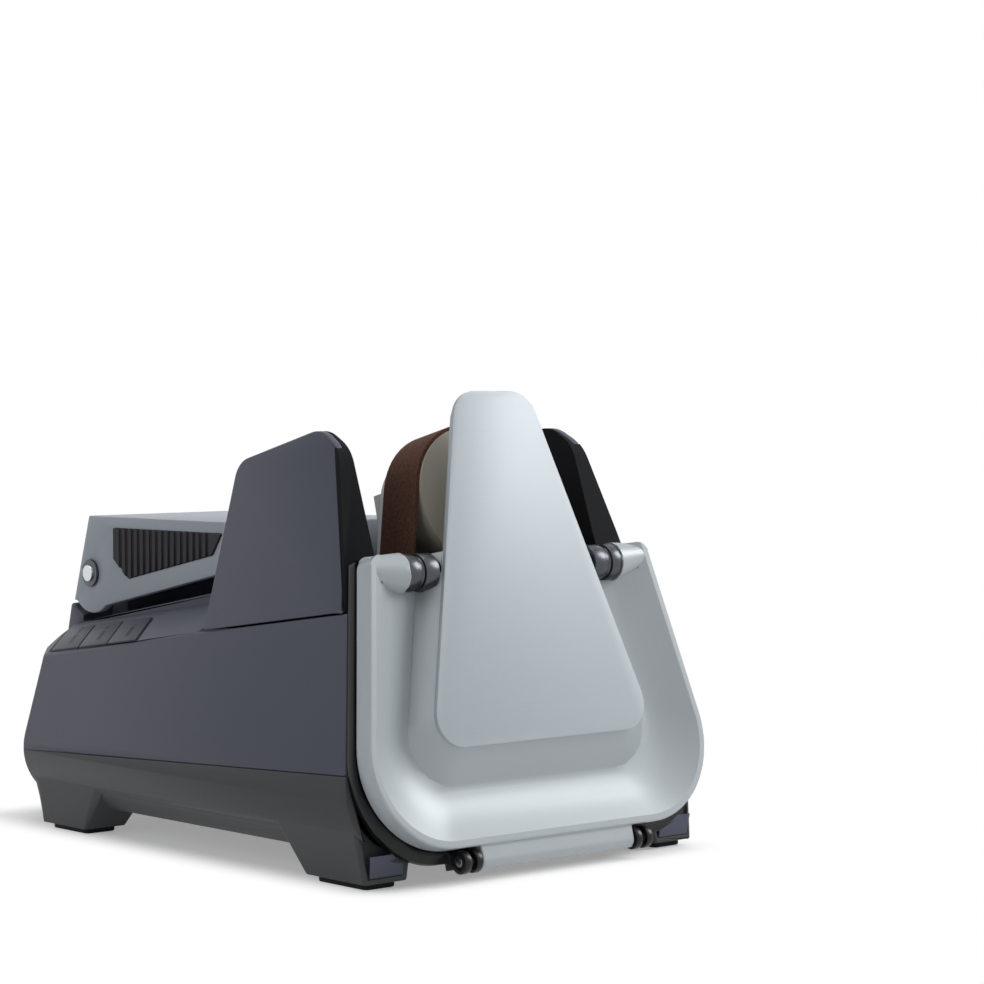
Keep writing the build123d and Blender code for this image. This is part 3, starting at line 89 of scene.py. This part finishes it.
def background_ray(tree):
    """One for rays that may see the plain white background."""
    path = add_node(tree, "ShaderNodeLightPath")
    seen = add_node(tree, "ShaderNodeMath", {"operation": "MAXIMUM"},
                    {0: path.outputs["Is Camera Ray"], 1: path.outputs["Is Glossy Ray"]})
    return add_node(tree, "ShaderNodeMath", {"operation": "MAXIMUM"},
                    {0: seen.outputs[0], 1: path.outputs["Is Transmission Ray"]}).outputs[0]


shadow_plan = (0.043, 0.077, 1.0)   # half the plan in which the table is dark, in metres
shadow_fade = 0.018                 # from there to plain white
table_white, tree = empty_material("white laminate")
paint = add_node(tree, "ShaderNodeBsdfPrincipled", {"Base Color": linear("f2f3f4"), "Roughness": 0.6})
glow = add_node(tree, "ShaderNodeEmission", {"Color": linear("ffffff"), "Strength": 0.30})
white = add_node(tree, "ShaderNodeEmission", {"Color": linear("ffffff"), "Strength": 1.0})
dark = add_node(tree, "ShaderNodeEmission", {"Strength": 0.0})
place = add_node(tree, "ShaderNodeTexCoord")
mirrored = add_node(tree, "ShaderNodeVectorMath", {"operation": "ABSOLUTE"}, {0: place.outputs["Object"]})
beyond = add_node(tree, "ShaderNodeVectorMath", {"operation": "SUBTRACT", 1: shadow_plan},
                  {0: mirrored.outputs["Vector"]})
outside = add_node(tree, "ShaderNodeVectorMath", {"operation": "MAXIMUM", 1: (0.0, 0.0, 0.0)},
                   {0: beyond.outputs["Vector"]})
away = add_node(tree, "ShaderNodeVectorMath", {"operation": "LENGTH"}, {0: outside.outputs["Vector"]})
fade = add_node(tree, "ShaderNodeMapRange",
                {"interpolation_type": "SMOOTHSTEP", "From Min": 0.0, "From Max": shadow_fade},
                {"Value": away.outputs["Value"]})
seen = background_ray(tree)
far_and_seen = add_node(tree, "ShaderNodeMath", {"operation": "MULTIPLY"}, {0: seen, 1: fade.outputs[0]})
lift = add_node(tree, "ShaderNodeMixShader", None, {0: seen, 1: dark.outputs[0], 2: glow.outputs[0]})
near = add_node(tree, "ShaderNodeAddShader", None, {0: paint.outputs[0], 1: lift.outputs[0]})
shown = add_node(tree, "ShaderNodeMixShader", None,
                 {0: far_and_seen.outputs[0], 1: near.outputs[0], 2: white.outputs[0]})
add_node(tree, "ShaderNodeOutputMaterial", None, {"Surface": shown.outputs[0]})

reach = 6.0                         # from the middle of the table to its edge
table_mesh = bpy.data.meshes.new("table")
table_mesh.from_pydata([(-reach, -reach, 0), (reach, -reach, 0), (reach, reach, 0), (-reach, reach, 0)],
                       [], [(0, 1, 2, 3)])
table_mesh.materials.append(table_white)
table = bpy.data.objects.new("table", table_mesh)
bpy.context.scene.collection.objects.link(table)

room = bpy.data.worlds.new("white room")
bpy.context.scene.world = room
room.use_nodes = True
tree = room.node_tree
tree.nodes.clear()
plain = add_node(tree, "ShaderNodeBackground", {"Color": linear("ffffff"), "Strength": 1.0})
dim = add_node(tree, "ShaderNodeBackground", {"Color": linear("f4f6fb"), "Strength": 0.16})
shown = add_node(tree, "ShaderNodeMixShader", None,
                 {0: background_ray(tree), 1: dim.outputs[0], 2: plain.outputs[0]})
add_node(tree, "ShaderNodeOutputWorld", None, {"Surface": shown.outputs[0]})


machine_middle = Vector((0, 0, 0.05))


def lamp(name, place, size, watts):
    """Square soft lamp at a place, turned to the machine."""
    data = bpy.data.lights.new(name, "AREA")
    data.size = size
    data.energy = watts
    thing = bpy.data.objects.new(name, data)
    thing.location = place
    thing.rotation_euler = (machine_middle - Vector(place)).to_track_quat("-Z", "Y").to_euler()
    bpy.context.scene.collection.objects.link(thing)


lamp("key_lamp", (1.05, -0.58, 0.75), 0.6, 9.8)
lamp("left_lamp", (-1.1, -0.15, 0.55), 0.8, 1.5)
lamp("top_lamp", (0.05, -0.05, 1.2), 0.6, 3.1)


# ------------------------------------------------------------------ upper housing
# One ABS moulding in blue-grey: side walls, seat of the blade guide, shoulders and the tower. Its
# edges are rounded by the mould, and the mould's spark-eroded grain keeps its shine low.
def on_object(tree):
    """Coordinates of the object in metres, so that a pattern has its real size."""
    return add_node(tree, "ShaderNodeTexCoord").outputs["Object"]


def blend(tree, amount, low, high):
    """Colour between two colours, by an amount from zero to one."""
    mix = add_node(tree, "ShaderNodeMix", {"data_type": "RGBA", 6: low, 7: high}, {0: amount})
    return mix.outputs[2]


def shaded(colour, share):
    """A hex colour made darker or lighter by a share of itself."""
    return [min(1.0, part * share) for part in linear(colour)[:3]] + [1.0]


def surface(tree, settings, links):
    """Joins a principled surface to the material's output."""
    body = add_node(tree, "ShaderNodeBsdfPrincipled", settings, links)
    add_node(tree, "ShaderNodeOutputMaterial", None, {"Surface": body.outputs[0]})


abs_ior, coat_roughness = 1.53, 0.2
drift_length = 0.03                 # over which a moulding's colour drifts, in metres


def moulded(name, colour, roughness, grain_mm=0.5, grain_um=6.0, drift=0.04, specular=0.28,
            metal=0.0, coat=0.0):
    """Moulded or painted plastic: the fine grain of its mould and a slight drift of colour."""
    finish, tree = empty_material(name)
    place = on_object(tree)
    cloud = add_node(tree, "ShaderNodeTexNoise", {"Scale": 1 / drift_length, "Detail": 3.0},
                     {"Vector": place})
    grain = add_node(tree, "ShaderNodeTexNoise", {"Scale": 1000.0 / grain_mm, "Detail": 2.0},
                     {"Vector": place})
    tint = blend(tree, cloud.outputs["Fac"], shaded(colour, 1 - drift), shaded(colour, 1 + drift))
    rough = add_node(tree, "ShaderNodeMapRange", {"To Min": roughness - 0.05, "To Max": roughness + 0.05},
                     {"Value": grain.outputs["Fac"]})
    bump = add_node(tree, "ShaderNodeBump", {"Strength": 0.5, "Distance": grain_um / 1e6},
                    {"Height": grain.outputs["Fac"]})
    surface(tree, {"IOR": abs_ior, "Specular IOR Level": specular, "Metallic": metal, "Coat Weight": coat,
                   "Coat Roughness": coat_roughness},
            {"Base Color": tint, "Roughness": rough.outputs[0], "Normal": bump.outputs[0]})
    return finish


def place_mesh(name, data, finish, body):
    """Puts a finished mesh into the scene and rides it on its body."""
    thing = bpy.data.objects.new(name, data)
    bpy.context.scene.collection.objects.link(thing)
    data.materials.clear()
    data.materials.append(finish)
    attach(thing, body)
    return thing


def smooth_faces(form, angle):
    """Shades faces smoothly, except across edges sharper than the angle."""
    for face in form.faces:
        face.smooth = True
    for edge in form.edges:
        edge.smooth = len(edge.link_faces) == 2 and edge.calc_face_angle(0) < math.radians(angle)


def roomy(edge, width, chosen):
    """Whether a rounding of that width fits beside an edge."""
    for face in edge.link_faces:
        if face.calc_area() < 2.2 * width * edge.calc_length():
            return False
    for end in edge.verts:
        for other in end.link_edges:
            if other is not edge and other not in chosen and other.calc_length() < 1.6 * width:
                return False
    return True


def softened(node_name, name, finish, body, width, angle=32.0, segments=2, crease=40.0):
    """Copy of a solid with its sharp edges rounded, which stands for that solid."""
    data = bpy.data.meshes.new(name)
    form = bmesh.new()
    form.from_mesh(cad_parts[node_name].data)
    bmesh.ops.remove_doubles(form, verts=form.verts, dist=3e-6)
    bmesh.ops.dissolve_limit(form, angle_limit=math.radians(1.0), verts=form.verts, edges=form.edges)
    chosen = {edge for edge in form.edges
              if len(edge.link_faces) == 2 and edge.calc_face_angle(0) > math.radians(angle)}
    for attempt in range(4):
        fitting = {edge for edge in chosen if roomy(edge, width, chosen)}
        if len(fitting) == len(chosen):
            break
        chosen = fitting
    bmesh.ops.bevel(form, geom=sorted(chosen, key=lambda edge: edge.index), offset=width, segments=segments,
                    profile=0.5, affect="EDGES", clamp_overlap=False, miter_outer="ARC", loop_slide=True)
    smooth_faces(form, crease)
    form.to_mesh(data)
    form.free()
    thing = place_mesh(name, data, finish, body)
    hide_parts(node_name)
    return thing


abs_blue_grey = moulded("blue-grey ABS, spark-eroded mould", "565966", 0.5)
softened("upper_housing", "upper_shell", abs_blue_grey, "base", 0.0006)

# ------------------------------------------------------------------ lower housing
# The tray on four flared legs is a second ABS moulding, in a neutral dark grey. A thin blue-grey panel lies
# in the sunk field of each front leg; its colour is the upper housing's made lighter by painted light.
abs_dark_grey = moulded("dark grey ABS, spark-eroded mould", "45484a", 0.52)
softened("lower_housing", "lower_shell", abs_dark_grey, "base", 0.0004)
leg_front_y, leg_clear = -0.07925, 0.0015
leg_grows, leg_height = 0.0035, 0.0228      # forwards, over its height
leg_lean = math.atan2(leg_grows, leg_height)
panel_sunk, panel_thickness = 0.00045, 0.00012
panel_corners = (                           # across the machine, up the leg
    (0.0400, 0.0015), (0.0493, 0.0015), (0.0498, 0.0065), (0.0400, 0.0065))
# Painted light: the upper housing's blue-grey made lighter to stand for the light on the leg's sunk field.
lit_panel_abs = moulded("blue-grey ABS, leg panel with painted light", "8d92a6", 0.45)
for side, side_name in ((-1, "left"), (1, "right")):
    form = bmesh.new()
    corners = []
    for across, upwards in panel_corners:
        y = leg_front_y + upwards * -math.sin(leg_lean) + panel_sunk * math.cos(leg_lean)
        z = leg_clear + upwards * math.cos(leg_lean) - panel_sunk * math.sin(leg_lean)
        corners.append(form.verts.new((side * across, y, z)))
    sheet = form.faces.new(corners)
    bmesh.ops.solidify(form, geom=[sheet], thickness=panel_thickness)
    bmesh.ops.recalc_face_normals(form, faces=form.faces)
    panel = bpy.data.meshes.new(f"leg_panel_{side_name}")
    form.to_mesh(panel)
    form.free()
    place_mesh(f"leg_panel_{side_name}", panel, lit_panel_abs, "base")

# ------------------------------------------------------------------ fascia
# Black ABS front behind the door, with the belt tub and the hinge lugs. It is moulded in a polished
# tool, so it is glossier than the housings.
abs_black = moulded("black ABS, polished mould", "0e0f11", 0.3, 0.4, 2.0, 0.03, 0.28)
softened("front_fascia", "fascia", abs_black, "base", 0.0003)

# ------------------------------------------------------------------ rubber pads
# Four pads of soft black rubber are pressed into recesses under the legs; they look dull.
pad_rubber = moulded("black nitrile rubber", "151516", 0.75, 0.6, 10.0, 0.06, 0.2)
for end in ("front", "rear"):
    for side in ("left", "right"):
        softened(f"foot_pad_{end}_{side}", f"pad_{end}_{side}", pad_rubber, "base", 0.0004)

# ------------------------------------------------------------------ door
# The door is an ABS moulding with silver flake paint: the flakes make it lighter where it faces the
# light and darker where it turns away.
silver_paint = moulded("silver flake paint on ABS", "b9c0c4", 0.42, 0.3, 3.0, 0.02, 0.4, 0.15, 0.1)
softened("door_cover", "door_shell", silver_paint, "door", 0.0004, angle=34.0, crease=20.0)


# ------------------------------------------------------------------ front plate
# A flat plate of aluminium is glued on the pylon. It is brushed crosswise, so fine streaks run across
# it and its shine spreads up and down.
def metal_surface(name, colour, roughness, line_mm, length_mm, line_um, metal=1.0, along=(1, 0, 0),
                  contrast=0.05):
    """Metal with fine marks: narrow lines along one direction, or an even grain along none."""
    finish, tree = empty_material(name)
    scale = [1000 / length_mm if part else 1000 / line_mm for part in along]
    stretch = add_node(tree, "ShaderNodeMapping", {"Scale": scale}, {"Vector": on_object(tree)})
    lines = add_node(tree, "ShaderNodeTexNoise", {"Scale": 1.0, "Detail": 4.0, "Roughness": 0.65},
                     {"Vector": stretch.outputs[0]})
    tint = blend(tree, lines.outputs["Fac"], shaded(colour, 1 - contrast), shaded(colour, 1 + contrast))
    rough = add_node(tree, "ShaderNodeMapRange", {"To Min": roughness - 0.08, "To Max": roughness + 0.08},
                     {"Value": lines.outputs["Fac"]})
    bump = add_node(tree, "ShaderNodeBump", {"Strength": 0.6, "Distance": line_um / 1e6},
                    {"Height": lines.outputs["Fac"]})
    surface(tree, {"Metallic": metal},
            {"Base Color": tint, "Roughness": rough.outputs[0], "Normal": bump.outputs[0]})
    return finish


plate_aluminium = metal_surface("brushed anodised aluminium", "c0c8ce", 0.48, 0.22, 9.0, 8.0, 0.15)
softened("front_plate", "plate", plate_aluminium, "door", 0.00012)

# ------------------------------------------------------------------ edge rods and hinge pin
# Two short steel rods, turned with a ring groove, stand between the door's bosses and the pylon; their
# dark finish mirrors softly. The door turns on a plain ground pin.
rod_steel = metal_surface("turned and blackened steel", "505257", 0.3, 0.25, 6.0, 1.5, 1.0, (0, 1, 0), 0.06)
for side in ("left", "right"):
    softened(f"edge_guide_{side}", f"edge_rod_{side}", rod_steel, "door", 0.0003)
ground_steel = metal_surface("ground steel", "88898b", 0.3, 0.2, 5.0, 1.0)
softened("hinge_pin", "hinge_rod", ground_steel, "base", 0.0002)

# ------------------------------------------------------------------ blade guide
# The lift-off guide is a black frame with two fins. A blue-grey cover is clipped on the outside of
# each fin; the liner inside has a matt grain so that it doesn't reflect the blade.
abs_matt_black = moulded("matt black ABS, etched mould", "101114", 0.7, 0.6, 12.0, 0.05, 0.1)
softened("guide_frame", "guide_liner", abs_matt_black, "blade_guide", 0.0009, segments=3)
for side in ("left", "right"):
    softened(f"guide_cover_{side}", f"fin_cover_{side}", abs_blue_grey, "blade_guide",
             0.0004)

# ------------------------------------------------------------------ rear arm
# The fold-up arm is moulded in a lighter grey. Ribbed rubber grips are pressed into its cheeks, and it
# turns on a bright pin that is held by two dark spring clips. A ceramic honing rod lies under its web.
abs_mid_grey = moulded("mid grey ABS, spark-eroded mould", "b7bec7", 0.46)
softened("honing_arm", "arm_shell", abs_mid_grey, "rear_arm", 0.0004)
grip_rubber = moulded("ribbed black rubber", "242428", 0.6, 0.6, 8.0, 0.06, 0.25)
for side in ("left", "right"):
    softened(f"arm_grip_{side}", f"grip_{side}", grip_rubber, "rear_arm", 0.00015,
             segments=1)
zinc = metal_surface("bright zinc plate", "d3d6d8", 0.28, 0.3, 3.0, 1.0)
softened("arm_pin", "pin", zinc, "rear_arm", 0.0003)
spring_steel = metal_surface("oil-black spring steel", "5c5f66", 0.38, 0.3, 3.0, 1.0)
softened("pin_clips", "spring_clips", spring_steel, "rear_arm", 0.00012)
ceramic = moulded("white alumina ceramic", "e6e3da", 0.5, 0.3, 3.0, 0.02, 0.5)
softened("honing_rod", "ceramic_rod", ceramic, "rear_arm", 0.0003)

# ------------------------------------------------------------------ keys
# Three slanting keys are moulded in a dark ABS. Each has a bar and a count of dots inlaid in black, and
# is pressed along the normal of the left shoulder.
key_first_y, key_pitch = 0.0155, 0.0132
key_outer_x, key_width = -0.0476, 0.0161     # as far as a key's inner end lies inwards, it also lies back
seat_height, seat_fall = 0.0522, math.tan(math.radians(7.5))
shoulder_edge_x, shoulder_rise = -0.04742, math.tan(math.radians(21.0))
key_proud = 0.00038                           # upright, above the shoulder
mark_proud, mark_depth = 0.00003, 0.00015
mark_bar = (0.22, 0.60, 0.38, 0.52)           # from and to, as shares of a key's length and of its pitch
mark_dots = (0.69, 0.77, 0.85)                # along the key
mark_dot_r, mark_dot_corners = 0.0006, 12
abs_key = moulded("dark blue-grey ABS key", "454852", 0.52)
ink = moulded("black inlaid ABS", "0a0b0c", 0.55)


def key_top(along, across, index):
    """Point on the top of a key, from its place along the key and across its pitch."""
    x = key_outer_x + key_width * along
    y = key_first_y + key_pitch * (index + across) + key_width * along
    z = seat_height - seat_fall * y + shoulder_rise * (x - shoulder_edge_x) + key_proud
    return Vector((x, y, z))


def inlay(form, outline):
    """Adds a thin prism on a key's top under an outline."""
    up = Vector((0, 0, mark_proud))
    down = Vector((0, 0, -mark_depth))
    high = [form.verts.new(point + up) for point in outline]
    low = [form.verts.new(point + down) for point in outline]
    form.faces.new(high)
    form.faces.new(list(reversed(low)))
    count = len(outline)
    for corner in range(count):
        after = (corner + 1) % count
        form.faces.new((high[corner], low[corner], low[after], high[after]))


for index, key_name in enumerate(("front", "middle", "rear")):
    softened(f"key_{key_name}", f"key_cap_{key_name}", abs_key, f"{key_name}_key", 0.00025)
    form = bmesh.new()
    start, end, low, high = mark_bar
    inlay(form, [key_top(start, low, index), key_top(end, low, index),
                 key_top(end, high, index), key_top(start, high, index)])
    for along in mark_dots[:index + 1]:
        middle = key_top(along, (low + high) / 2, index)
        ring = []
        for step in range(mark_dot_corners):
            turn = step * 2 * math.pi / mark_dot_corners
            dx, dy = mark_dot_r * math.cos(turn), mark_dot_r * math.sin(turn)
            ring.append(middle + Vector((dx, dy, shoulder_rise * dx - seat_fall * dy)))
        inlay(form, ring)
    bmesh.ops.recalc_face_normals(form, faces=form.faces)
    marks = bpy.data.meshes.new(f"key_marks_{key_name}")
    form.to_mesh(marks)
    form.free()
    place_mesh(f"key_marks_{key_name}", marks, ink, f"{key_name}_key")


# ------------------------------------------------------------------ screws
# Cross-head screws of zinc-plated steel hold the housings, the belt frame and the motor. One node tree
# makes a set: it stands a turned screw on each given point, its head outwards along -Z.
def screw_tree():
    """Geometry nodes of a set of screws, each turned by its own angle."""
    tree = bpy.data.node_groups.new("screw_set", "GeometryNodeTree")
    tree.interface.new_socket("Places", in_out="INPUT", socket_type="NodeSocketGeometry")
    for name in ("Head Radius", "Head Height", "Shank Radius", "Shank Length", "Recess Width"):
        tree.interface.new_socket(name, in_out="INPUT", socket_type="NodeSocketFloat")
    tree.interface.new_socket("Finish", in_out="INPUT", socket_type="NodeSocketMaterial")
    tree.interface.new_socket("Screws", in_out="OUTPUT", socket_type="NodeSocketGeometry")
    given = tree.nodes.new("NodeGroupInput").outputs

    def scaled(value, share):
        return add_node(tree, "ShaderNodeMath", {"operation": "MULTIPLY", 1: share}, {0: value}).outputs[0]

    def raised(mesh, height):
        shift = add_node(tree, "ShaderNodeCombineXYZ", None, {"Z": height})
        return add_node(tree, "GeometryNodeTransform", None,
                        {"Geometry": mesh, "Translation": shift.outputs[0]}).outputs[0]

    rim = add_node(tree, "GeometryNodeMeshCone", {"Vertices": 32},
                   {"Radius Bottom": scaled(given["Head Radius"], 0.78), "Radius Top": given["Head Radius"],
                    "Depth": scaled(given["Head Height"], 0.4)})
    head = add_node(tree, "GeometryNodeMeshCylinder", {"Vertices": 32},
                    {"Radius": given["Head Radius"], "Depth": scaled(given["Head Height"], 0.6)})
    shank = add_node(tree, "GeometryNodeMeshCylinder", {"Vertices": 20},
                     {"Radius": given["Shank Radius"], "Depth": given["Shank Length"]})
    shank_middle = add_node(tree, "ShaderNodeMath", {"operation": "ADD"},
                            {0: given["Head Height"], 1: scaled(given["Shank Length"], 0.5)})
    solid = add_node(tree, "GeometryNodeMeshBoolean", {"operation": "UNION"})
    for mesh in (rim.outputs["Mesh"], raised(head.outputs["Mesh"], scaled(given["Head Height"], 0.7)),
                 raised(shank.outputs["Mesh"], shank_middle.outputs[0])):
        tree.links.new(mesh, solid.inputs["Mesh 2"])
    long_side = scaled(given["Head Radius"], 1.1)
    narrow = given["Recess Width"]
    depth = scaled(given["Head Height"], 1.0)
    cross = add_node(tree, "GeometryNodeJoinGeometry")
    for sides in ((long_side, narrow), (narrow, long_side)):
        size = add_node(tree, "ShaderNodeCombineXYZ", None, {"X": sides[0], "Y": sides[1], "Z": depth})
        bar = add_node(tree, "GeometryNodeMeshCube", None, {"Size": size.outputs[0]})
        tree.links.new(bar.outputs["Mesh"], cross.inputs[0])
    cut = add_node(tree, "GeometryNodeMeshBoolean", {"operation": "DIFFERENCE"},
                   {"Mesh 1": solid.outputs["Mesh"], "Mesh 2": cross.outputs[0]})
    spots = add_node(tree, "GeometryNodeMeshToPoints", None, {"Mesh": given["Places"]})
    turn = add_node(tree, "FunctionNodeRandomValue", {"data_type": "FLOAT", 2: 0.0, 3: math.pi / 2, 8: 5})
    spin = add_node(tree, "ShaderNodeCombineXYZ", None, {"Z": turn.outputs[1]})
    sets = add_node(tree, "GeometryNodeInstanceOnPoints", None,
                    {"Points": spots.outputs[0], "Instance": cut.outputs["Mesh"],
                     "Rotation": spin.outputs[0]})
    whole = add_node(tree, "GeometryNodeRealizeInstances", None, {0: sets.outputs[0]})
    coated = add_node(tree, "GeometryNodeSetMaterial", None,
                      {"Geometry": whole.outputs[0], "Material": given["Finish"]})
    add_node(tree, "NodeGroupOutput", None, {0: coated.outputs[0]})
    return tree


def screw_set(node_name, name, places, sizes, matrix):
    """Screws at places in a plane, which the matrix then puts into the machine."""
    points = bpy.data.meshes.new(f"{name}_places")
    points.from_pydata([(x, y, 0) for x, y in places], [], [])
    thing = bpy.data.objects.new(name, points)
    bpy.context.scene.collection.objects.link(thing)
    modifier = thing.modifiers.new("screws", "NODES")
    modifier.node_group = screws_nodes
    for item in screws_nodes.interface.items_tree:
        if item.name in sizes:
            modifier[item.identifier] = sizes[item.name]
        elif item.name == "Finish":
            modifier[item.identifier] = zinc_screw
    graph = bpy.context.evaluated_depsgraph_get()
    data = bpy.data.meshes.new_from_object(thing.evaluated_get(graph))
    thing.modifiers.clear()
    data.transform(matrix)
    form = bmesh.new()
    form.from_mesh(data)
    smooth_faces(form, 30.0)
    form.to_mesh(data)
    form.free()
    thing.data = data
    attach(thing, "base")
    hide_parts(node_name)


door_lean = math.radians(13.6)
door_foot_y = -0.0898                # where the plane of the door's face meets the table


def leaning(depth, backwards):
    """Matrix from a plane parallel to the door to the machine; screws point forwards or backwards."""
    sine, cosine = math.sin(door_lean), math.cos(door_lean)
    sign = 1 if backwards else -1
    return Matrix.Translation((0, door_foot_y + depth * cosine, -depth * sine)) @ Matrix((
        (1, 0, 0, 0),
        (0, -sign * sine, sign * cosine, 0),
        (0, -sign * cosine, -sign * sine, 0),
        (0, 0, 0, 1)))


zinc_screw = metal_surface("yellowish zinc plate on screws", "b9b6a8", 0.32, 0.2, 0.2, 1.5, 1.0,
                           (0, 0, 0), 0.1)
screws_nodes = screw_tree()
screw_girth = {"Head Radius": 0.0029, "Shank Radius": 0.0015, "Recess Width": 0.0008}
tray_head_z, frame_head_depth, motor_head_depth = 0.0075, 0.0308, 0.0404
screw_set("housing_screws", "tray_screws",
          ((-0.033, -0.016), (0.033, -0.016), (-0.024, 0.070), (0.024, 0.070)),
          {"Head Height": 0.0020, "Shank Length": 0.0195, **screw_girth},
          Matrix.Translation((0, 0, tray_head_z)))
screw_set("frame_screws", "frame_bolts",
          ((-0.038, 0.021), (0.038, 0.021), (-0.038, 0.044), (0.0385, 0.037)),
          {"Head Height": 0.0020, "Shank Length": 0.0060, **screw_girth},
          leaning(frame_head_depth, False))
screw_set("motor_screws", "motor_bolts", ((-0.010, -0.046), (0.010, -0.046)),
          {"Head Height": 0.0012, "Shank Length": 0.0044, **screw_girth},
          leaning(motor_head_depth, True))


# ------------------------------------------------------------------ abrasive belt
# A cloth belt coated with brown aluminium oxide: sharp grains of about a third of a millimetre stand in
# a dull resin and make it rough and speckled.
darkest_grain, lightest_grain = 0.6, 1.5    # as shares of the belt's colour
grain_height = 0.0001


def coated_cloth(name, colour, grain_mm):
    """Abrasive cloth: grains of different brightness that stand out of the resin."""
    finish, tree = empty_material(name)
    grains = add_node(tree, "ShaderNodeTexVoronoi", {"Scale": 1000.0 / grain_mm}, {"Vector": on_object(tree)})
    speck = add_node(tree, "ShaderNodeSeparateColor", None, {0: grains.outputs["Color"]})
    tint = blend(tree, speck.outputs[0], shaded(colour, darkest_grain), shaded(colour, lightest_grain))
    bump = add_node(tree, "ShaderNodeBump", {"Strength": 0.8, "Distance": grain_height, "invert": True},
                    {"Height": grains.outputs["Distance"]})
    surface(tree, {"Roughness": 0.85, "Specular IOR Level": 0.3},
            {"Base Color": tint, "Normal": bump.outputs[0]})
    return finish


def give(finish, *node_names):
    """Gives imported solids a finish."""
    for node_name in node_names:
        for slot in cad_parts[node_name].material_slots:
            slot.material = finish


give(coated_cloth("brown aluminium oxide cloth", "5a3a2c", 0.35), "abrasive_belt")

# ------------------------------------------------------------------ belt drive
# The frame and the motor bracket are die-cast zinc, dull and slightly pitted. Pulleys, wheels and the
# slider are nylon in its natural ivory; shafts are ground bright, the idler's bush is sintered bronze.
die_cast = metal_surface("die-cast zinc alloy", "8f9193", 0.5, 0.6, 0.6, 12.0, 1.0, (0, 0, 0), 0.08)
give(die_cast, "belt_frame", "motor_bracket")
nylon = moulded("natural nylon", "cbc6b6", 0.45, 0.5, 3.0, 0.03, 0.4)
give(nylon, "top_pulley", "drive_pulley", "idler_pulley", "driven_wheel", "tension_slider", "cooling_fan")
shaft_steel = metal_surface("ground shaft steel", "a9abad", 0.22, 0.15, 4.0, 0.8, 1.0, (1, 0, 0), 0.05)
give(shaft_steel, "idler_axle", "drive_shaft", "top_axle", "motor_shaft", "frame_bearing", "bracket_bearing")
wire_steel = metal_surface("drawn spring wire", "77797c", 0.35, 0.1, 2.0, 1.0, 1.0, (0, 0, 1), 0.06)
give(wire_steel, "tension_spring")
bronze = metal_surface("sintered bronze", "a07a4a", 0.5, 0.25, 0.25, 6.0, 1.0, (0, 0, 0), 0.15)
give(bronze, "idler_bush")
belt_rubber = moulded("black neoprene with glass cord", "18181a", 0.7, 0.4, 8.0, 0.08, 0.25)
give(belt_rubber, "toothed_belt")


# ------------------------------------------------------------------ motor
# A deep-drawn can of zinc-plated steel with a black nylon end cap. The rotor is a stack of thin
# lacquered steel sheets, whose edges show as fine rings across its axis.
wave_at_scale_one = 0.314           # length of one wave of the band texture, in metres, at scale one


def stacked_sheets(name, light, dark, sheet_mm):
    """Edges of thin sheets stacked along the motor's axis, which leans with the door."""
    finish, tree = empty_material(name)
    turned = add_node(tree, "ShaderNodeMapping", {"Rotation": (door_lean, 0, 0)}, {"Vector": on_object(tree)})
    rings = add_node(tree, "ShaderNodeTexWave",
                     {"bands_direction": "Y", "Scale": wave_at_scale_one / (sheet_mm / 1000)},
                     {"Vector": turned.outputs[0]})
    tint = blend(tree, rings.outputs["Fac"], linear(dark), linear(light))
    surface(tree, {"Metallic": 1.0, "Roughness": 0.45}, {"Base Color": tint})
    return finish


can_steel = metal_surface("zinc-plated sheet steel", "a2a5a8", 0.35, 0.3, 5.0, 2.0, 1.0, (1, 0, 0), 0.06)
give(can_steel, "motor_can")
black_nylon = moulded("black nylon with glass fibre", "1b1b1d", 0.5, 0.4, 8.0, 0.06, 0.3)
give(black_nylon, "motor_end_cap", "power_inlet", "key_switches")
give(stacked_sheets("laminated rotor steel and copper", "b08a66", "4a4542", 0.5), "motor_rotor")
pressed_steel = metal_surface("sintered steel", "7d7f81", 0.45, 0.3, 0.3, 5.0, 1.0, (0, 0, 0), 0.08)
give(pressed_steel, "motor_pulley", "door_strikes")
nickel = metal_surface("nickel plate on magnets", "b9b7ae", 0.2, 0.4, 0.4, 1.0, 1.0, (0, 0, 0), 0.04)
give(nickel, "door_magnets")


# ------------------------------------------------------------------ control board and power inlet
# The board is glass-fibre laminate under green solder mask, with lighter copper tracks below the mask.
# The black inlet in the rear wall has two round nickel-plated contacts.
track_length, track_pitch = 0.0065, 0.0022


def solder_mask(name, ground, track, track_mm):
    """Green lacquer with straight tracks that show through it."""
    finish, tree = empty_material(name)
    tracks = add_node(tree, "ShaderNodeTexBrick",
                      {"Scale": 1.0, "Mortar Size": track_mm / 2000,
                       "Brick Width": track_length, "Row Height": track_pitch,
                       "Color1": linear(ground), "Color2": linear(ground), "Mortar": linear(track)},
                      {"Vector": on_object(tree)})
    surface(tree, {"Roughness": 0.3, "Coat Weight": 0.4, "Coat Roughness": 0.15},
            {"Base Color": tracks.outputs["Color"]})
    return finish


give(solder_mask("green solder mask", "0f4a2a", "2f7a4a", 0.4), "control_board")
contact_x, contact_z, contact_r = 0.0043, 0.0315, 0.00113
contact_root_y, contact_tip_y = 0.0726, 0.08152
form = bmesh.new()
for side in (-1, 1):
    bmesh.ops.create_cone(
        form, cap_ends=True, segments=20, radius1=contact_r, radius2=contact_r,
        depth=contact_tip_y - contact_root_y,
        matrix=Matrix.Translation((side * contact_x, (contact_root_y + contact_tip_y) / 2, contact_z))
        @ Matrix.Rotation(math.pi / 2, 4, "X"))
smooth_faces(form, 40.0)
contacts = bpy.data.meshes.new("inlet_contacts")
form.to_mesh(contacts)
form.free()
place_mesh("inlet_contacts", contacts, nickel, "base")
